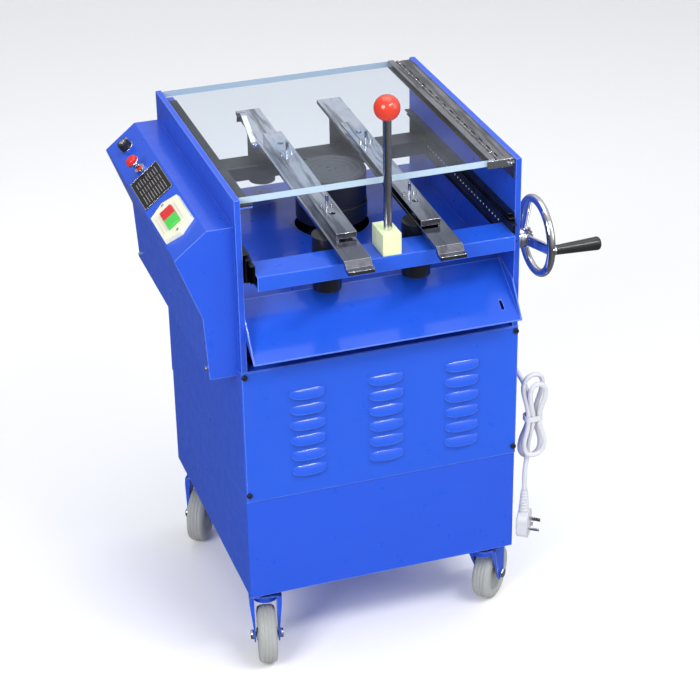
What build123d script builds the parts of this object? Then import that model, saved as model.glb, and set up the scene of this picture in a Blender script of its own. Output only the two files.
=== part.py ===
"""Component-lead cutting machine on casters, built as separate parts.

Millimetres, +X to the operator's right, +Y to the rear, +Z up. The origin is on the
floor under the middle of the whole machine's outline.
"""
import os
from math import cos, radians, sin, tan

from build123d import *

os.makedirs("parts", exist_ok=True)

# ---------------------------------------------------------------- driving dimensions
cabinet_width = 450.0
cabinet_depth = 464.0
caster_height = 132.0
base_height = 178.0
upper_height = 230.0
housing_height = 281.0
sheet = 2.0
wall_thickness = 9.0
running_gap = 0.3
fit_gap = 0.05

# The side panel, handwheel and rails overhang unevenly, so the cabinet stands off-centre.
cabinet_x = -11.04
cabinet_y = 16.0

left = cabinet_x - cabinet_width / 2
right = cabinet_x + cabinet_width / 2
front = cabinet_y - cabinet_depth / 2
rear = cabinet_y + cabinet_depth / 2
base_bottom = caster_height
seam = base_bottom + base_height
housing_bottom = seam + upper_height
housing_top = housing_bottom + housing_height

wall_inset = 2.0
wall_out_left = left + wall_inset
wall_out_right = right - wall_inset
wall_in_left = wall_out_left + wall_thickness
wall_in_right = wall_out_right - wall_thickness

deck_top = housing_bottom + 89.0
slide_level = housing_bottom + 170.0
bar_bottom = housing_bottom + 147.0
bar_height = 24.0
bar_top = bar_bottom + bar_height
front_bar_front = front - 33.0
front_bar_depth = 54.0
rear_bar_front = front + 362.0
rear_bar_depth = 46.0

cutter_x = cabinet_x + 14.0
cutter_y = front + 283.0
cutter_top = housing_bottom + 182.0


def box_between(low, high, mode=Mode.ADD):
    """Adds or cuts a box given by its lowest and highest corners."""
    middle = [(a + b) / 2 for a, b in zip(low, high)]
    size = [b - a for a, b in zip(low, high)]
    with Locations(Vector(*middle)):
        Box(*size, mode=mode)


def cylinder_between(start, end, radius, mode=Mode.ADD):
    """Adds or cuts a cylinder whose axis runs from start to end."""
    axis = Vector(*end) - Vector(*start)
    with Locations(Plane(origin=start, z_dir=axis).location):
        Cylinder(radius, axis.length, align=(Align.CENTER, Align.CENTER, Align.MIN), mode=mode)


# ---------------------------------------------------------------- base cabinet
base_inset = 1.0

with BuildPart() as base_cabinet:
    with BuildSketch(Plane.XY.offset(base_bottom)):
        with Locations((cabinet_x, cabinet_y)):
            RectangleRounded(cabinet_width - 2 * base_inset, cabinet_depth - 2 * base_inset, 3)
    extrude(amount=base_height)
    offset(amount=-sheet, openings=base_cabinet.faces().sort_by(Axis.Z)[-1])
base_cabinet.part.label = "base_cabinet"
export_step(base_cabinet.part, "parts/base_cabinet.step")

# ---------------------------------------------------------------- upper cabinet
window_margin = 22.0
top_flange = 20.0

with BuildPart() as upper_cabinet:
    with BuildSketch(Plane.XY.offset(seam)):
        with Locations((cabinet_x, cabinet_y)):
            RectangleRounded(cabinet_width, cabinet_depth, 3)
            RectangleRounded(cabinet_width - 2 * sheet, cabinet_depth - 2 * sheet, 1.5, mode=Mode.SUBTRACT)
    extrude(amount=upper_height)
    with BuildSketch(Plane.XY.offset(housing_bottom - sheet)):
        with Locations((cabinet_x, cabinet_y)):
            Rectangle(cabinet_width - 2, cabinet_depth - 2)
            Rectangle(cabinet_width - 2 * top_flange, cabinet_depth - 2 * top_flange, mode=Mode.SUBTRACT)
    extrude(amount=sheet)
    box_between(
        (left + window_margin, front - 1, seam + window_margin),
        (right - window_margin, front + sheet + 1, housing_bottom - window_margin),
        Mode.SUBTRACT,
    )
upper_cabinet.part.label = "upper_cabinet"
export_step(upper_cabinet.part, "parts/upper_cabinet.step")

# ---------------------------------------------------------------- louvred front panel
panel_thickness = 1.5
panel_margin = 2.0
louvre_length = 56.0
louvre_columns = (-122.0, 5.0, 130.0)
louvre_rows = 6
louvre_pitch = 27.0
louvre_lowest = seam + 43.0
louvre_depth = 7.0
louvre_rise = 7.0

with BuildPart() as louvre_panel:
    box_between(
        (left + panel_margin, front - panel_thickness, seam + 1),
        (right - panel_margin, front, housing_bottom - 1),
    )
    louvre_heights = [louvre_lowest + row * louvre_pitch for row in range(louvre_rows)]
    face = front - panel_thickness
    for column in louvre_columns:
        start = cabinet_x + column - louvre_length / 2
        with BuildSketch(Plane.YZ.offset(start)) as hoods:
            for height in louvre_heights:
                with BuildLine():
                    Polyline(
                        (face + 0.5, height + louvre_rise),
                        (face, height + louvre_rise),
                        (face - louvre_depth, height - 3),
                        (face - louvre_depth, height - louvre_rise),
                        (face + 0.5, height - louvre_rise),
                        close=True,
                    )
                make_face()
        extrude(amount=louvre_length)
    for column in louvre_columns:
        start = cabinet_x + column - louvre_length / 2 + panel_thickness
        with BuildSketch(Plane.YZ.offset(start)) as mouths:
            for height in louvre_heights:
                with BuildLine():
                    Polyline(
                        (front + 1, height + louvre_rise - 3),
                        (face, height + louvre_rise - 3),
                        (face - louvre_depth + 1.4, height - 3.6),
                        (face - louvre_depth + 1.4, height - louvre_rise - 1),
                        (face, height - louvre_rise - 1),
                        (face, height - louvre_rise + 0.5),
                        (front + 1, height - louvre_rise + 0.5),
                        close=True,
                    )
                make_face()
        extrude(amount=louvre_length - 2 * panel_thickness, mode=Mode.SUBTRACT)
louvre_panel.part.label = "louvre_panel"
export_step(louvre_panel.part, "parts/louvre_panel.step")

panel_screw_inset = 5.5
panel_screw_spots = [
    (x, z)
    for x in (left + panel_screw_inset, right - panel_screw_inset)
    for z in (seam + 14.0, housing_bottom - 8.0)
]

with BuildPart() as panel_screws:
    with BuildSketch(Plane.XZ.offset(-face)):
        with Locations(*panel_screw_spots):
            Circle(4.6)
    extrude(amount=3.4)
    fillet(panel_screws.faces().sort_by(Axis.Y)[:4].edges(), 1.4)
    with BuildSketch(Plane.XZ.offset(-face + 3.4)):
        with Locations(*panel_screw_spots):
            RegularPolygon(2.0, 6)
    extrude(amount=-1.8, mode=Mode.SUBTRACT)
panel_screws.part.label = "panel_screws"
export_step(panel_screws.part, "parts/panel_screws.step")

# ---------------------------------------------------------------- housing side walls
wheel_axis_y = front + 21.0
wheel_axis_z = housing_bottom + 139.0
bush_radius = 9.0
cover_bottom = housing_top - 10.0
rest_strip_thickness = 3.0
ledge_top = cover_bottom - rest_strip_thickness
ledge_width = 19.0


with BuildPart() as side_wall_left:
    box_between((wall_out_left, front, housing_bottom), (wall_in_left, rear, housing_top))
    box_between(
        (wall_in_left, front + 2, ledge_top - sheet),
        (wall_in_left + ledge_width, rear - 2, ledge_top),
    )
side_wall_left.part.label = "side_wall_left"
export_step(side_wall_left.part, "parts/side_wall_left.step")

with BuildPart() as side_wall_right:
    box_between((wall_in_right, front, housing_bottom), (wall_out_right, rear, housing_top))
    cylinder_between(
        (wall_in_right - 1, wheel_axis_y, wheel_axis_z),
        (wall_out_right + 1, wheel_axis_y, wheel_axis_z),
        bush_radius,
        Mode.SUBTRACT,
    )
side_wall_right.part.label = "side_wall_right"
export_step(side_wall_right.part, "parts/side_wall_right.step")

# ---------------------------------------------------------------- deck and chute flap
deck_front = front + 60.0
drum_hole_radius = 60.5
flap_pitch = 33.6
flap_low_y = front - 38.0
flap_low_z = housing_bottom + 31.0
flap_high_y = deck_front - 4.0
flap_side_drop = 26.0
flap_half_width = (wall_in_right - wall_in_left) / 2
flap_slot_x = cabinet_x + 190.0

with BuildPart() as deck_plate:
    box_between((wall_in_left, deck_front, deck_top - sheet), (wall_in_right, rear - 1, deck_top))
    box_between((wall_in_left, rear - 1 - sheet, housing_bottom), (wall_in_right, rear - 1, deck_top))
    box_between(
        (wall_in_left, deck_front, deck_top - 18),
        (wall_in_right, deck_front + sheet, deck_top),
    )
    cylinder_between(
        (cutter_x, cutter_y, deck_top - 5), (cutter_x, cutter_y, deck_top + 5), drum_hole_radius, Mode.SUBTRACT
    )
deck_plate.part.label = "deck_plate"
export_step(deck_plate.part, "parts/deck_plate.step")

flap_rise = tan(radians(flap_pitch))


def flap_height(y):
    """Top surface of the sloping flap at depth y."""
    return flap_low_z + (y - flap_low_y) * flap_rise


with BuildPart() as chute_flap:
    with BuildSketch(Plane.YZ.offset(cabinet_x - flap_half_width)):
        with BuildLine():
            Polyline(
                (flap_low_y, flap_low_z),
                (flap_high_y, flap_height(flap_high_y)),
                (flap_high_y, flap_height(flap_high_y) - sheet),
                (flap_low_y, flap_low_z - sheet),
                close=True,
            )
        make_face()
    extrude(amount=2 * flap_half_width)
    for side in (-1, 1):
        edge = cabinet_x + side * (flap_half_width - sheet / 2)
        with BuildSketch(Plane.YZ.offset(edge - sheet / 2)):
            with BuildLine():
                Polyline(
                    (flap_low_y, flap_low_z),
                    (flap_low_y + 40, flap_height(flap_low_y + 40) + 26),
                    (flap_high_y, flap_height(flap_high_y) + 4),
                    (flap_high_y, flap_height(flap_high_y) - sheet),
                    (flap_low_y, flap_low_z - sheet),
                    close=True,
                )
            make_face()
        extrude(amount=sheet)
    cylinder_between(
        (cabinet_x - flap_half_width - 1, front + 14, housing_bottom + 78),
        (cabinet_x - flap_half_width + 4, front + 14, housing_bottom + 78),
        2.5,
        Mode.SUBTRACT,
    )
    with BuildSketch(Plane.XY.offset(flap_low_z - 5)):
        with Locations((flap_slot_x, front - 12)):
            SlotOverall(16, 5, rotation=90)
    extrude(amount=40, mode=Mode.SUBTRACT)
chute_flap.part.label = "chute_flap"
export_step(chute_flap.part, "parts/chute_flap.step")

# ---------------------------------------------------------------- control box on the left wall
box_front = front + 12.0
box_rear = front + 456.0
box_top_z = housing_top - 46.0
panel_top = (cabinet_x - 263.0, box_top_z)
panel_foot = (cabinet_x - 313.0, box_top_z - 40.0)
box_waist = (cabinet_x - 275.0, box_top_z - 140.0)
box_foot = (cabinet_x - 269.0, box_top_z - 244.0)
box_skin = 1.5
panel_length = Vector(panel_foot[0] - panel_top[0], panel_foot[1] - panel_top[1]).length
panel_down = Vector(panel_foot[0] - panel_top[0], 0, panel_foot[1] - panel_top[1]).normalized()
panel_normal = Vector(-panel_down.Z * -1, 0, -panel_down.X)
panel_plane = Plane(origin=(panel_top[0], front, panel_top[1]), x_dir=panel_down, z_dir=panel_normal)
panel_middle = panel_length / 2

knob_y = 406.0
estop_y = 308.0
nameplate_y = (194.0, 296.0)
switch_y = 110.0
switch_height = 6.0
switch_body_depth = 14.0
switch_body = (26.0, 61.0)
knob_shaft_radius = 3.0
estop_stem_radius = 4.0

with BuildPart() as control_box:
    with BuildSketch(Plane.XZ.offset(-box_front)):
        with BuildLine():
            Polyline(
                (wall_out_left, box_top_z),
                panel_top,
                panel_foot,
                box_waist,
                box_foot,
                (wall_out_left, box_foot[1]),
                close=True,
            )
        make_face()
    extrude(amount=-(box_rear - box_front))
    fillet(control_box.edges().filter_by(Axis.Y).sort_by(Axis.X)[:4], 2.5)
    offset(amount=-box_skin, openings=control_box.faces().filter_by(Axis.X).sort_by(Axis.X)[-1])
    box_between(
        (left, box_front - 1, box_foot[1] - 1), (wall_out_left + 1, box_rear + 1, housing_bottom), Mode.SUBTRACT
    )
    with BuildSketch(panel_plane.offset(1)):
        with Locations((panel_middle, -knob_y)):
            Circle(knob_shaft_radius + fit_gap)
    extrude(amount=-6, mode=Mode.SUBTRACT)
    with BuildSketch(panel_plane.offset(1)):
        with Locations((panel_middle, -estop_y)):
            Circle(7.0)
        with Locations((panel_middle, -switch_y)):
            Rectangle(switch_body[0] + 0.4, switch_body[1] + 0.4)
    extrude(amount=-6, mode=Mode.SUBTRACT)
control_box.part.label = "control_box"
export_step(control_box.part, "parts/control_box.step")

with BuildPart() as speed_knob:
    with BuildSketch(panel_plane.offset(running_gap)):
        with Locations((panel_middle, -knob_y)):
            Circle(10.5)
    extrude(amount=13, taper=4)
    fillet(speed_knob.faces().sort_by(Axis(panel_plane.origin, panel_normal))[-1].edges(), 1.5)
    with BuildSketch(panel_plane.offset(-12)):
        with Locations((panel_middle, -knob_y)):
            Circle(knob_shaft_radius)
    extrude(amount=13)
speed_knob.part.label = "speed_knob"
export_step(speed_knob.part, "parts/speed_knob.step")

with BuildPart() as estop_collar:
    with BuildSketch(panel_plane.offset(0)):
        with Locations((panel_middle, -estop_y)):
            Circle(9.0)
            Circle(estop_stem_radius + fit_gap, mode=Mode.SUBTRACT)
    extrude(amount=6)
    with BuildSketch(panel_plane.offset(-14)):
        with Locations((panel_middle, -estop_y)):
            Circle(7.0)
            Circle(estop_stem_radius + fit_gap, mode=Mode.SUBTRACT)
    extrude(amount=14)
estop_collar.part.label = "estop_collar"
export_step(estop_collar.part, "parts/estop_collar.step")

estop_head_height = 20.0
estop_head_radius = 9.8

with BuildPart() as estop_button:
    with BuildSketch(panel_plane.offset(-10)):
        with Locations((panel_middle, -estop_y)):
            Circle(estop_stem_radius)
    extrude(amount=estop_head_height + 10)
    with BuildSketch(panel_plane.offset(estop_head_height)):
        with Locations((panel_middle, -estop_y)):
            Circle(estop_head_radius)
    extrude(amount=9)
    fillet(estop_button.faces().sort_by(Axis(panel_plane.origin, panel_normal))[-1].edges(), 4.5)
estop_button.part.label = "estop_button"
export_step(estop_button.part, "parts/estop_button.step")

with BuildPart() as nameplate:
    with BuildSketch(panel_plane):
        with Locations((panel_middle, -(nameplate_y[0] + nameplate_y[1]) / 2)):
            RectangleRounded(57, nameplate_y[1] - nameplate_y[0], 1.5)
    extrude(amount=0.8)
nameplate.part.label = "nameplate"
export_step(nameplate.part, "parts/nameplate.step")

# ---------------------------------------------------------------- start and stop switch
switch_half_width = 28.0
switch_half_length = 56.0
switch_flat = 43.0
button_size = (22.0, 27.5)
button_centres = {"stop_button": switch_y + 14.2, "start_button": switch_y - 14.2}
button_travel = 3.0
switch_screw_reach = 45.0

with BuildPart() as switch_housing:
    with BuildSketch(panel_plane):
        with BuildLine():
            Polyline(
                (panel_middle - switch_half_width, -switch_y - switch_flat),
                (panel_middle, -switch_y - switch_half_length),
                (panel_middle + switch_half_width, -switch_y - switch_flat),
                (panel_middle + switch_half_width, -switch_y + switch_flat),
                (panel_middle, -switch_y + switch_half_length),
                (panel_middle - switch_half_width, -switch_y + switch_flat),
                close=True,
            )
        make_face()
    extrude(amount=switch_height, taper=12)
    with BuildSketch(panel_plane):
        with Locations((panel_middle, -switch_y)):
            Rectangle(*switch_body)
    extrude(amount=-switch_body_depth)
    with BuildSketch(panel_plane.offset(switch_height + 1)):
        with Locations((panel_middle, -switch_y)):
            RectangleRounded(button_size[0] + 0.8, 2 * 28.4 + 0.2, 1)
    extrude(amount=-switch_height - switch_body_depth + 1, mode=Mode.SUBTRACT)
switch_housing.part.label = "switch_housing"
export_step(switch_housing.part, "parts/switch_housing.step")

for label, centre in button_centres.items():
    with BuildPart() as push_button:
        with BuildSketch(panel_plane.offset(-8)):
            with Locations((panel_middle, -centre)):
                RectangleRounded(button_size[0], button_size[1], 1.0)
        extrude(amount=17.5)
        top_face = push_button.faces().sort_by(Axis(panel_plane.origin, panel_normal))[-1]
        fillet(top_face.edges(), 0.9)
    push_button.part.label = label
    export_step(push_button.part, f"parts/{label}.step")

with BuildPart() as control_screws:
    with BuildSketch(panel_plane.offset(switch_height)):
        with Locations(
            (panel_middle, -switch_y - switch_screw_reach), (panel_middle, -switch_y + switch_screw_reach)
        ):
            Circle(2.6)
    extrude(amount=1.6)
    side_down = Vector(box_foot[0] - box_waist[0], 0, box_foot[1] - box_waist[1]).normalized()
    side_normal = Vector(side_down.Z, 0, -side_down.X)
    side_plane = Plane(origin=(box_waist[0], front, box_waist[1]), x_dir=side_down, z_dir=side_normal)
    with BuildSketch(side_plane):
        with Locations((90, -24), (90, -444)):
            Circle(4.0)
    extrude(amount=3.2)
control_screws.part.label = "control_screws"
export_step(control_screws.part, "parts/control_screws.step")

# ---------------------------------------------------------------- clear cover and its hinge rail
cover_rear = front + 458.0
cover_front = front + 10.0
cover_left = wall_in_left + 0.8
hinge_x = cabinet_x + 190.0
hinge_z = housing_top - 4.0
hinge_barrel_radius = 3.4
hinge_pin_radius = 1.5
trim_right = hinge_x - 6.5
trim_left = hinge_x - 16.0
cover_right = trim_right - 1.5
knuckle_count = 29
knuckle_pitch = (cover_rear - cover_front) / knuckle_count
runner_left = hinge_x + 5.0
runner_right = wall_in_right - 2.0
runner_bottom = housing_top - 13.0
runner_top = housing_top - 1.5
tongue_left = runner_left + 7.0
tongue_level = housing_top - 7.5

with BuildPart() as cover_rest_strip:
    box_between(
        (wall_in_left + 0.2, front + 3, ledge_top),
        (wall_in_left + ledge_width, rear - 24, cover_bottom - running_gap),
    )
cover_rest_strip.part.label = "cover_rest_strip"
export_step(cover_rest_strip.part, "parts/cover_rest_strip.step")

with BuildPart() as cover_rail:
    box_between((wall_in_right - 1.5, front + 3, housing_top - 34), (wall_in_right, rear - 4, housing_top - 1))
    box_between(
        (tongue_left, front + 3, tongue_level - 1),
        (wall_in_right - 1, rear - 4, tongue_level + 1),
    )
cover_rail.part.label = "cover_rail"
export_step(cover_rail.part, "parts/cover_rail.step")


def knuckles(first, arm_end):
    """Every second hinge knuckle, bored for the pin, with its arm out to arm_end."""
    for index in range(first, knuckle_count, 2):
        start = cover_front + index * knuckle_pitch + running_gap
        end = cover_front + (index + 1) * knuckle_pitch - running_gap
        cylinder_between((hinge_x, start, hinge_z), (hinge_x, end, hinge_z), hinge_barrel_radius)
        x_low, x_high = sorted((hinge_x, arm_end))
        box_between((x_low, start, hinge_z - 1.5), (x_high, end, hinge_z + 1.5))


with BuildPart() as cover_runner:
    box_between((runner_left, cover_front, runner_bottom), (runner_right, cover_rear, runner_top))
    box_between(
        (tongue_left - running_gap, cover_front - 1, tongue_level - 1 - running_gap),
        (runner_right + 1, cover_rear + 1, tongue_level + 1 + running_gap),
        Mode.SUBTRACT,
    )
    knuckles(0, runner_left + 1)
    cylinder_between((hinge_x, cover_front - 2, hinge_z), (hinge_x, cover_rear + 2, hinge_z), hinge_pin_radius)
cover_runner.part.label = "cover_runner"
export_step(cover_runner.part, "parts/cover_runner.step")

with BuildPart() as cover_hinge_leaf:
    box_between((trim_left, cover_front, cover_bottom - 1.2), (trim_right, cover_rear, housing_top + 1.2))
    box_between(
        (trim_left - 1, cover_front - 1, cover_bottom), (cover_right, cover_rear + 1, housing_top), Mode.SUBTRACT
    )
    knuckles(1, trim_right - 1)
    cylinder_between(
        (hinge_x, cover_front - 1, hinge_z),
        (hinge_x, cover_rear + 1, hinge_z),
        hinge_pin_radius + fit_gap,
        Mode.SUBTRACT,
    )
cover_hinge_leaf.part.label = "cover_hinge_leaf"
export_step(cover_hinge_leaf.part, "parts/cover_hinge_leaf.step")

with BuildPart() as cover_panel:
    box_between((cover_left, cover_front, cover_bottom), (cover_right, cover_rear, housing_top))
    chamfer(cover_panel.edges().filter_by(Axis.Y).sort_by(Axis.X)[:2], 0.8)
cover_panel.part.label = "cover_panel"
export_step(cover_panel.part, "parts/cover_panel.step")

# ---------------------------------------------------------------- telescopic slides
slide_front = front + 2.0
slide_rear = front + 456.0
slide_depth = 12.7
slide_metal = 1.5


def channel(side, back, depth, half_height, y_low, y_high, opens_inward=True):
    """A C-channel whose back lies off the wall; side is -1 for the left wall, 1 for the right."""
    wall_face = wall_in_left if side < 0 else wall_in_right
    near = wall_face - side * back
    far = wall_face - side * (back + depth)
    x_low, x_high = sorted((near, far))
    box_between((x_low, y_low, slide_level - half_height), (x_high, y_high, slide_level + half_height))
    inner_half = half_height - slide_metal
    cut_near = near - side * slide_metal if opens_inward else near + side
    cut_far = far - side if opens_inward else far + side * slide_metal
    cut_low, cut_high = sorted((cut_near, cut_far))
    box_between(
        (cut_low, y_low - 1, slide_level - inner_half), (cut_high, y_high + 1, slide_level + inner_half), Mode.SUBTRACT
    )


with BuildPart() as slide_outers:
    channel(-1, 0, 11.5, 22.5, slide_front, slide_rear)
    channel(1, 0, 11.5, 22.5, slide_front, slide_rear)
slide_outers.part.label = "slide_outers"
export_step(slide_outers.part, "parts/slide_outers.step")

middle_shift = -10.0
inner_shift = -24.0

with BuildPart() as slide_middles:
    for side in (-1, 1):
        channel(side, 2.6, 9.2, 18.4, slide_front + middle_shift, slide_rear + middle_shift)
slide_middles.part.label = "slide_middles"
export_step(slide_middles.part, "parts/slide_middles.step")

with BuildPart() as slide_inners:
    for side in (-1, 1):
        channel(side, 5.2, 7.5, 14.0, slide_front + inner_shift, slide_rear + inner_shift - 4, False)
slide_inners.part.label = "slide_inners"
export_step(slide_inners.part, "parts/slide_inners.step")

# ---------------------------------------------------------------- carriage bars
bar_left = wall_in_left + slide_depth
bar_right = wall_in_right - slide_depth
tube_wall = 2.5
front_bar_rear = front_bar_front + front_bar_depth
rear_bar_rear = rear_bar_front + rear_bar_depth


def square_tube(y_low, y_high):
    """A rectangular tube across the carriage, between the inner slide members."""
    box_between((bar_left, y_low, bar_bottom), (bar_right, y_high, bar_top))
    long_edges = slide_bar.edges().filter_by(Axis.X)
    fillet(long_edges, 1.5)
    box_between(
        (bar_left - 1, y_low + tube_wall, bar_bottom + tube_wall),
        (bar_right + 1, y_high - tube_wall, bar_top - tube_wall),
        Mode.SUBTRACT,
    )


with BuildPart() as slide_bar:
    square_tube(front_bar_front, front_bar_rear)
slide_bar.part.label = "front_bar"
export_step(slide_bar.part, "parts/front_bar.step")

with BuildPart() as slide_bar:
    square_tube(rear_bar_front, rear_bar_rear)
slide_bar.part.label = "rear_bar"
export_step(slide_bar.part, "parts/rear_bar.step")

# ---------------------------------------------------------------- push lever
lever_x = cabinet_x + 6.5
lever_y = front - 11.0
block_size = (29.0, 50.0, 34.0)
rod_radius = 6.5
ball_radius = 19.5
ball_height = housing_bottom + 396.0

with BuildPart() as lever_block:
    with BuildSketch(Plane.XY.offset(bar_top)):
        with Locations((lever_x, lever_y + 5)):
            RectangleRounded(block_size[0], block_size[1], 1.0)
    extrude(amount=block_size[2])
    fillet(lever_block.faces().sort_by(Axis.Z)[-1].edges(), 0.8)
    with BuildSketch(Plane.XY.offset(bar_top + block_size[2])):
        with Locations((lever_x, lever_y)):
            Circle(rod_radius)
    extrude(amount=-26, mode=Mode.SUBTRACT)
lever_block.part.label = "lever_block"
export_step(lever_block.part, "parts/lever_block.step")

with BuildPart() as lever_rod:
    cylinder_between((lever_x, lever_y, bar_top + 8), (lever_x, lever_y, ball_height - 14), rod_radius)
    cylinder_between((lever_x, lever_y, ball_height - 14), (lever_x, lever_y, ball_height), 4.0)
lever_rod.part.label = "lever_rod"
export_step(lever_rod.part, "parts/lever_rod.step")

with BuildPart() as lever_ball:
    with Locations((lever_x, lever_y, ball_height)):
        Sphere(ball_radius)
    cylinder_between((lever_x, lever_y, ball_height - 25), (lever_x, lever_y, ball_height), 4.0, Mode.SUBTRACT)
    box_between(
        (lever_x - 9, lever_y - 9, ball_height - 25), (lever_x + 9, lever_y + 9, ball_height - 14), Mode.SUBTRACT
    )
lever_ball.part.label = "lever_ball"
export_step(lever_ball.part, "parts/lever_ball.step")

# ---------------------------------------------------------------- board rails
rail_pitch = 2.0
rail_level = housing_bottom + 184.0
rail_front = front - 80.0
rail_rear = front + 512.0
strip_width = 41.0
strip_thickness = 6.0
plate_width = 31.0
plate_metal = 3.0
plate_top = 18.0
plate_front = front + 4.0
plate_rear = front + 384.0
rail_outer_edge = {"left": cabinet_x - 78.0, "right": cabinet_x + 105.5}
post_radius = 22.0
post_places = (front + 45.0, front + 436.0)
post_foot = (housing_bottom + 97.0, housing_bottom + 112.0)
post_offset = (-14.0, 0.0)
stud_places = (front + 97.0, front + 300.0)
ring_places = (front + 72.0, front + 338.0)
rail_slope = tan(radians(rail_pitch))


def rail_height(y):
    """Underside of a board rail's strip, which rises slightly to the rear."""
    return rail_level + (y - front) * rail_slope


for side, side_name in ((-1, "left"), (1, "right")):
    outer = rail_outer_edge[side_name]
    strip_x = sorted((outer, outer - side * strip_width))
    inner = outer - side * strip_width
    plate_x = sorted((inner, inner + side * plate_width))
    plate_middle = sum(plate_x) / 2
    strip_middle = sum(strip_x) / 2

    with BuildPart() as rail_strip:
        with BuildSketch(Plane.YZ.offset(strip_x[0])):
            with BuildLine():
                Polyline(
                    (rail_front, rail_height(rail_front) - 8),
                    (rail_front + 14, rail_height(rail_front + 14) - 8),
                    (rail_front + 24, rail_height(rail_front + 24)),
                    (rail_rear, rail_height(rail_rear)),
                    (rail_rear, rail_height(rail_rear) + strip_thickness),
                    (rail_front + 21, rail_height(rail_front + 21) + strip_thickness),
                    (rail_front + 11, rail_height(rail_front + 11) + strip_thickness - 8),
                    (rail_front, rail_height(rail_front) + strip_thickness - 8),
                    close=True,
                )
            make_face()
        extrude(amount=strip_width)
        fillet(rail_strip.edges().filter_by(Axis.Z), 1.5)
    rail_strip.part.label = f"rail_strip_{side_name}"
    export_step(rail_strip.part, f"parts/rail_strip_{side_name}.step")

    with BuildPart() as rail_plate:
        with BuildSketch(Plane.YZ.offset(plate_x[0])):
            with BuildLine():
                Polyline(
                    (plate_front, rail_height(plate_front) + plate_top - 9),
                    (plate_front + plate_metal, rail_height(plate_front) + plate_top - 9),
                    (plate_front + plate_metal, rail_height(plate_front) + plate_top - plate_metal),
                    (plate_rear, rail_height(plate_rear) + plate_top - plate_metal),
                    (plate_rear, rail_height(plate_rear) + plate_top),
                    (plate_front, rail_height(plate_front) + plate_top),
                    close=True,
                )
            make_face()
        extrude(amount=plate_width)
        web_outer = inner + side * plate_width
        web_x = sorted((web_outer, web_outer - side * plate_metal))
        with BuildSketch(Plane.YZ.offset(web_x[0])):
            with BuildLine():
                Polyline(
                    (plate_front, rail_height(plate_front) + strip_thickness),
                    (plate_rear, rail_height(plate_rear) + strip_thickness),
                    (plate_rear, rail_height(plate_rear) + plate_top - 1),
                    (plate_front, rail_height(plate_front) + plate_top - 1),
                    close=True,
                )
            make_face()
        extrude(amount=plate_metal)
        for ring_y in ring_places:
            cylinder_between(
                (plate_middle, ring_y, rail_height(ring_y) + 8),
                (plate_middle, ring_y, rail_height(ring_y) + 30),
                5.0,
                Mode.SUBTRACT,
            )
        for stud_y in stud_places:
            surface = rail_height(stud_y) + plate_top - 1
            cylinder_between((plate_middle, stud_y, surface), (plate_middle, stud_y, surface + 20), 2.4)
            for offset_x in (-8, 8):
                cylinder_between(
                    (plate_middle + offset_x, stud_y, surface), (plate_middle + offset_x, stud_y, surface + 4), 3.4
                )
    rail_plate.part.label = f"rail_plate_{side_name}"
    export_step(rail_plate.part, f"parts/rail_plate_{side_name}.step")

    with BuildPart() as rail_supports:
        for post_y, foot, aside in zip(post_places, post_foot, post_offset):
            with BuildSketch(Plane.XY.offset(foot)):
                with Locations((strip_middle + aside, post_y)):
                    Circle(post_radius)
            extrude(amount=rail_height(post_y) - foot + 4)
        for bar_low, bar_high in ((front_bar_front, front_bar_rear), (rear_bar_front, rear_bar_rear)):
            box_between(
                (strip_middle - 12, bar_low + 6, bar_top + running_gap),
                (strip_middle + 12, bar_high - 2, bar_top + 22),
            )
        with BuildSketch(Plane.YZ.offset(strip_middle - 45)):
            with BuildLine():
                Polyline(
                    (front_bar_front - 10, rail_height(front_bar_front - 10)),
                    (post_places[1] + 30, rail_height(post_places[1] + 30)),
                    (post_places[1] + 30, rail_height(post_places[1] + 30) + 30),
                    (front_bar_front - 10, rail_height(front_bar_front - 10) + 30),
                    close=True,
                )
            make_face()
        extrude(amount=90, mode=Mode.SUBTRACT)
    rail_supports.part.label = f"rail_supports_{side_name}"
    export_step(rail_supports.part, f"parts/rail_supports_{side_name}.step")

# A curled spring strip stands on the outer side of the left rail's rear end.
spring_foot = front + 386.0
spring_x = rail_outer_edge["left"]

with BuildPart() as rail_spring:
    low = rail_height(spring_foot)
    with BuildSketch(Plane.YZ.offset(spring_x - 9)):
        with BuildLine() as spring_line:
            Line((spring_foot, low + 1), (spring_foot + 52, low + 26))
            ThreePointArc((spring_foot + 52, low + 26), (spring_foot + 76, low + 27), (spring_foot + 88, low + 8))
            Line((spring_foot + 88, low + 8), (spring_foot + 86, low + 7))
            ThreePointArc((spring_foot + 86, low + 7), (spring_foot + 75, low + 24.5), (spring_foot + 53, low + 24))
            Line((spring_foot + 53, low + 24), (spring_foot + 1, low - 1))
            Line((spring_foot + 1, low - 1), (spring_foot, low + 1))
        make_face()
    extrude(amount=8.8)
    box_between((spring_x - 9, spring_foot - 8, low - 2), (spring_x, spring_foot + 12, low + 3))
rail_spring.part.label = "rail_spring"
export_step(rail_spring.part, "parts/rail_spring.step")

# ---------------------------------------------------------------- cutter, motor and lift
drum_radius = 56.5
disc_radius = 57.0
motor_radius = 58.0
lift_plate_top = deck_top - 36.0
lift_plate_thickness = 8.0
guide_radius = 5.0
guide_reach = 82.0
guide_places = [
    (cutter_x + sign_x * guide_reach, cutter_y + sign_y * guide_reach) for sign_x in (-1, 1) for sign_y in (-1, 1)
]

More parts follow.
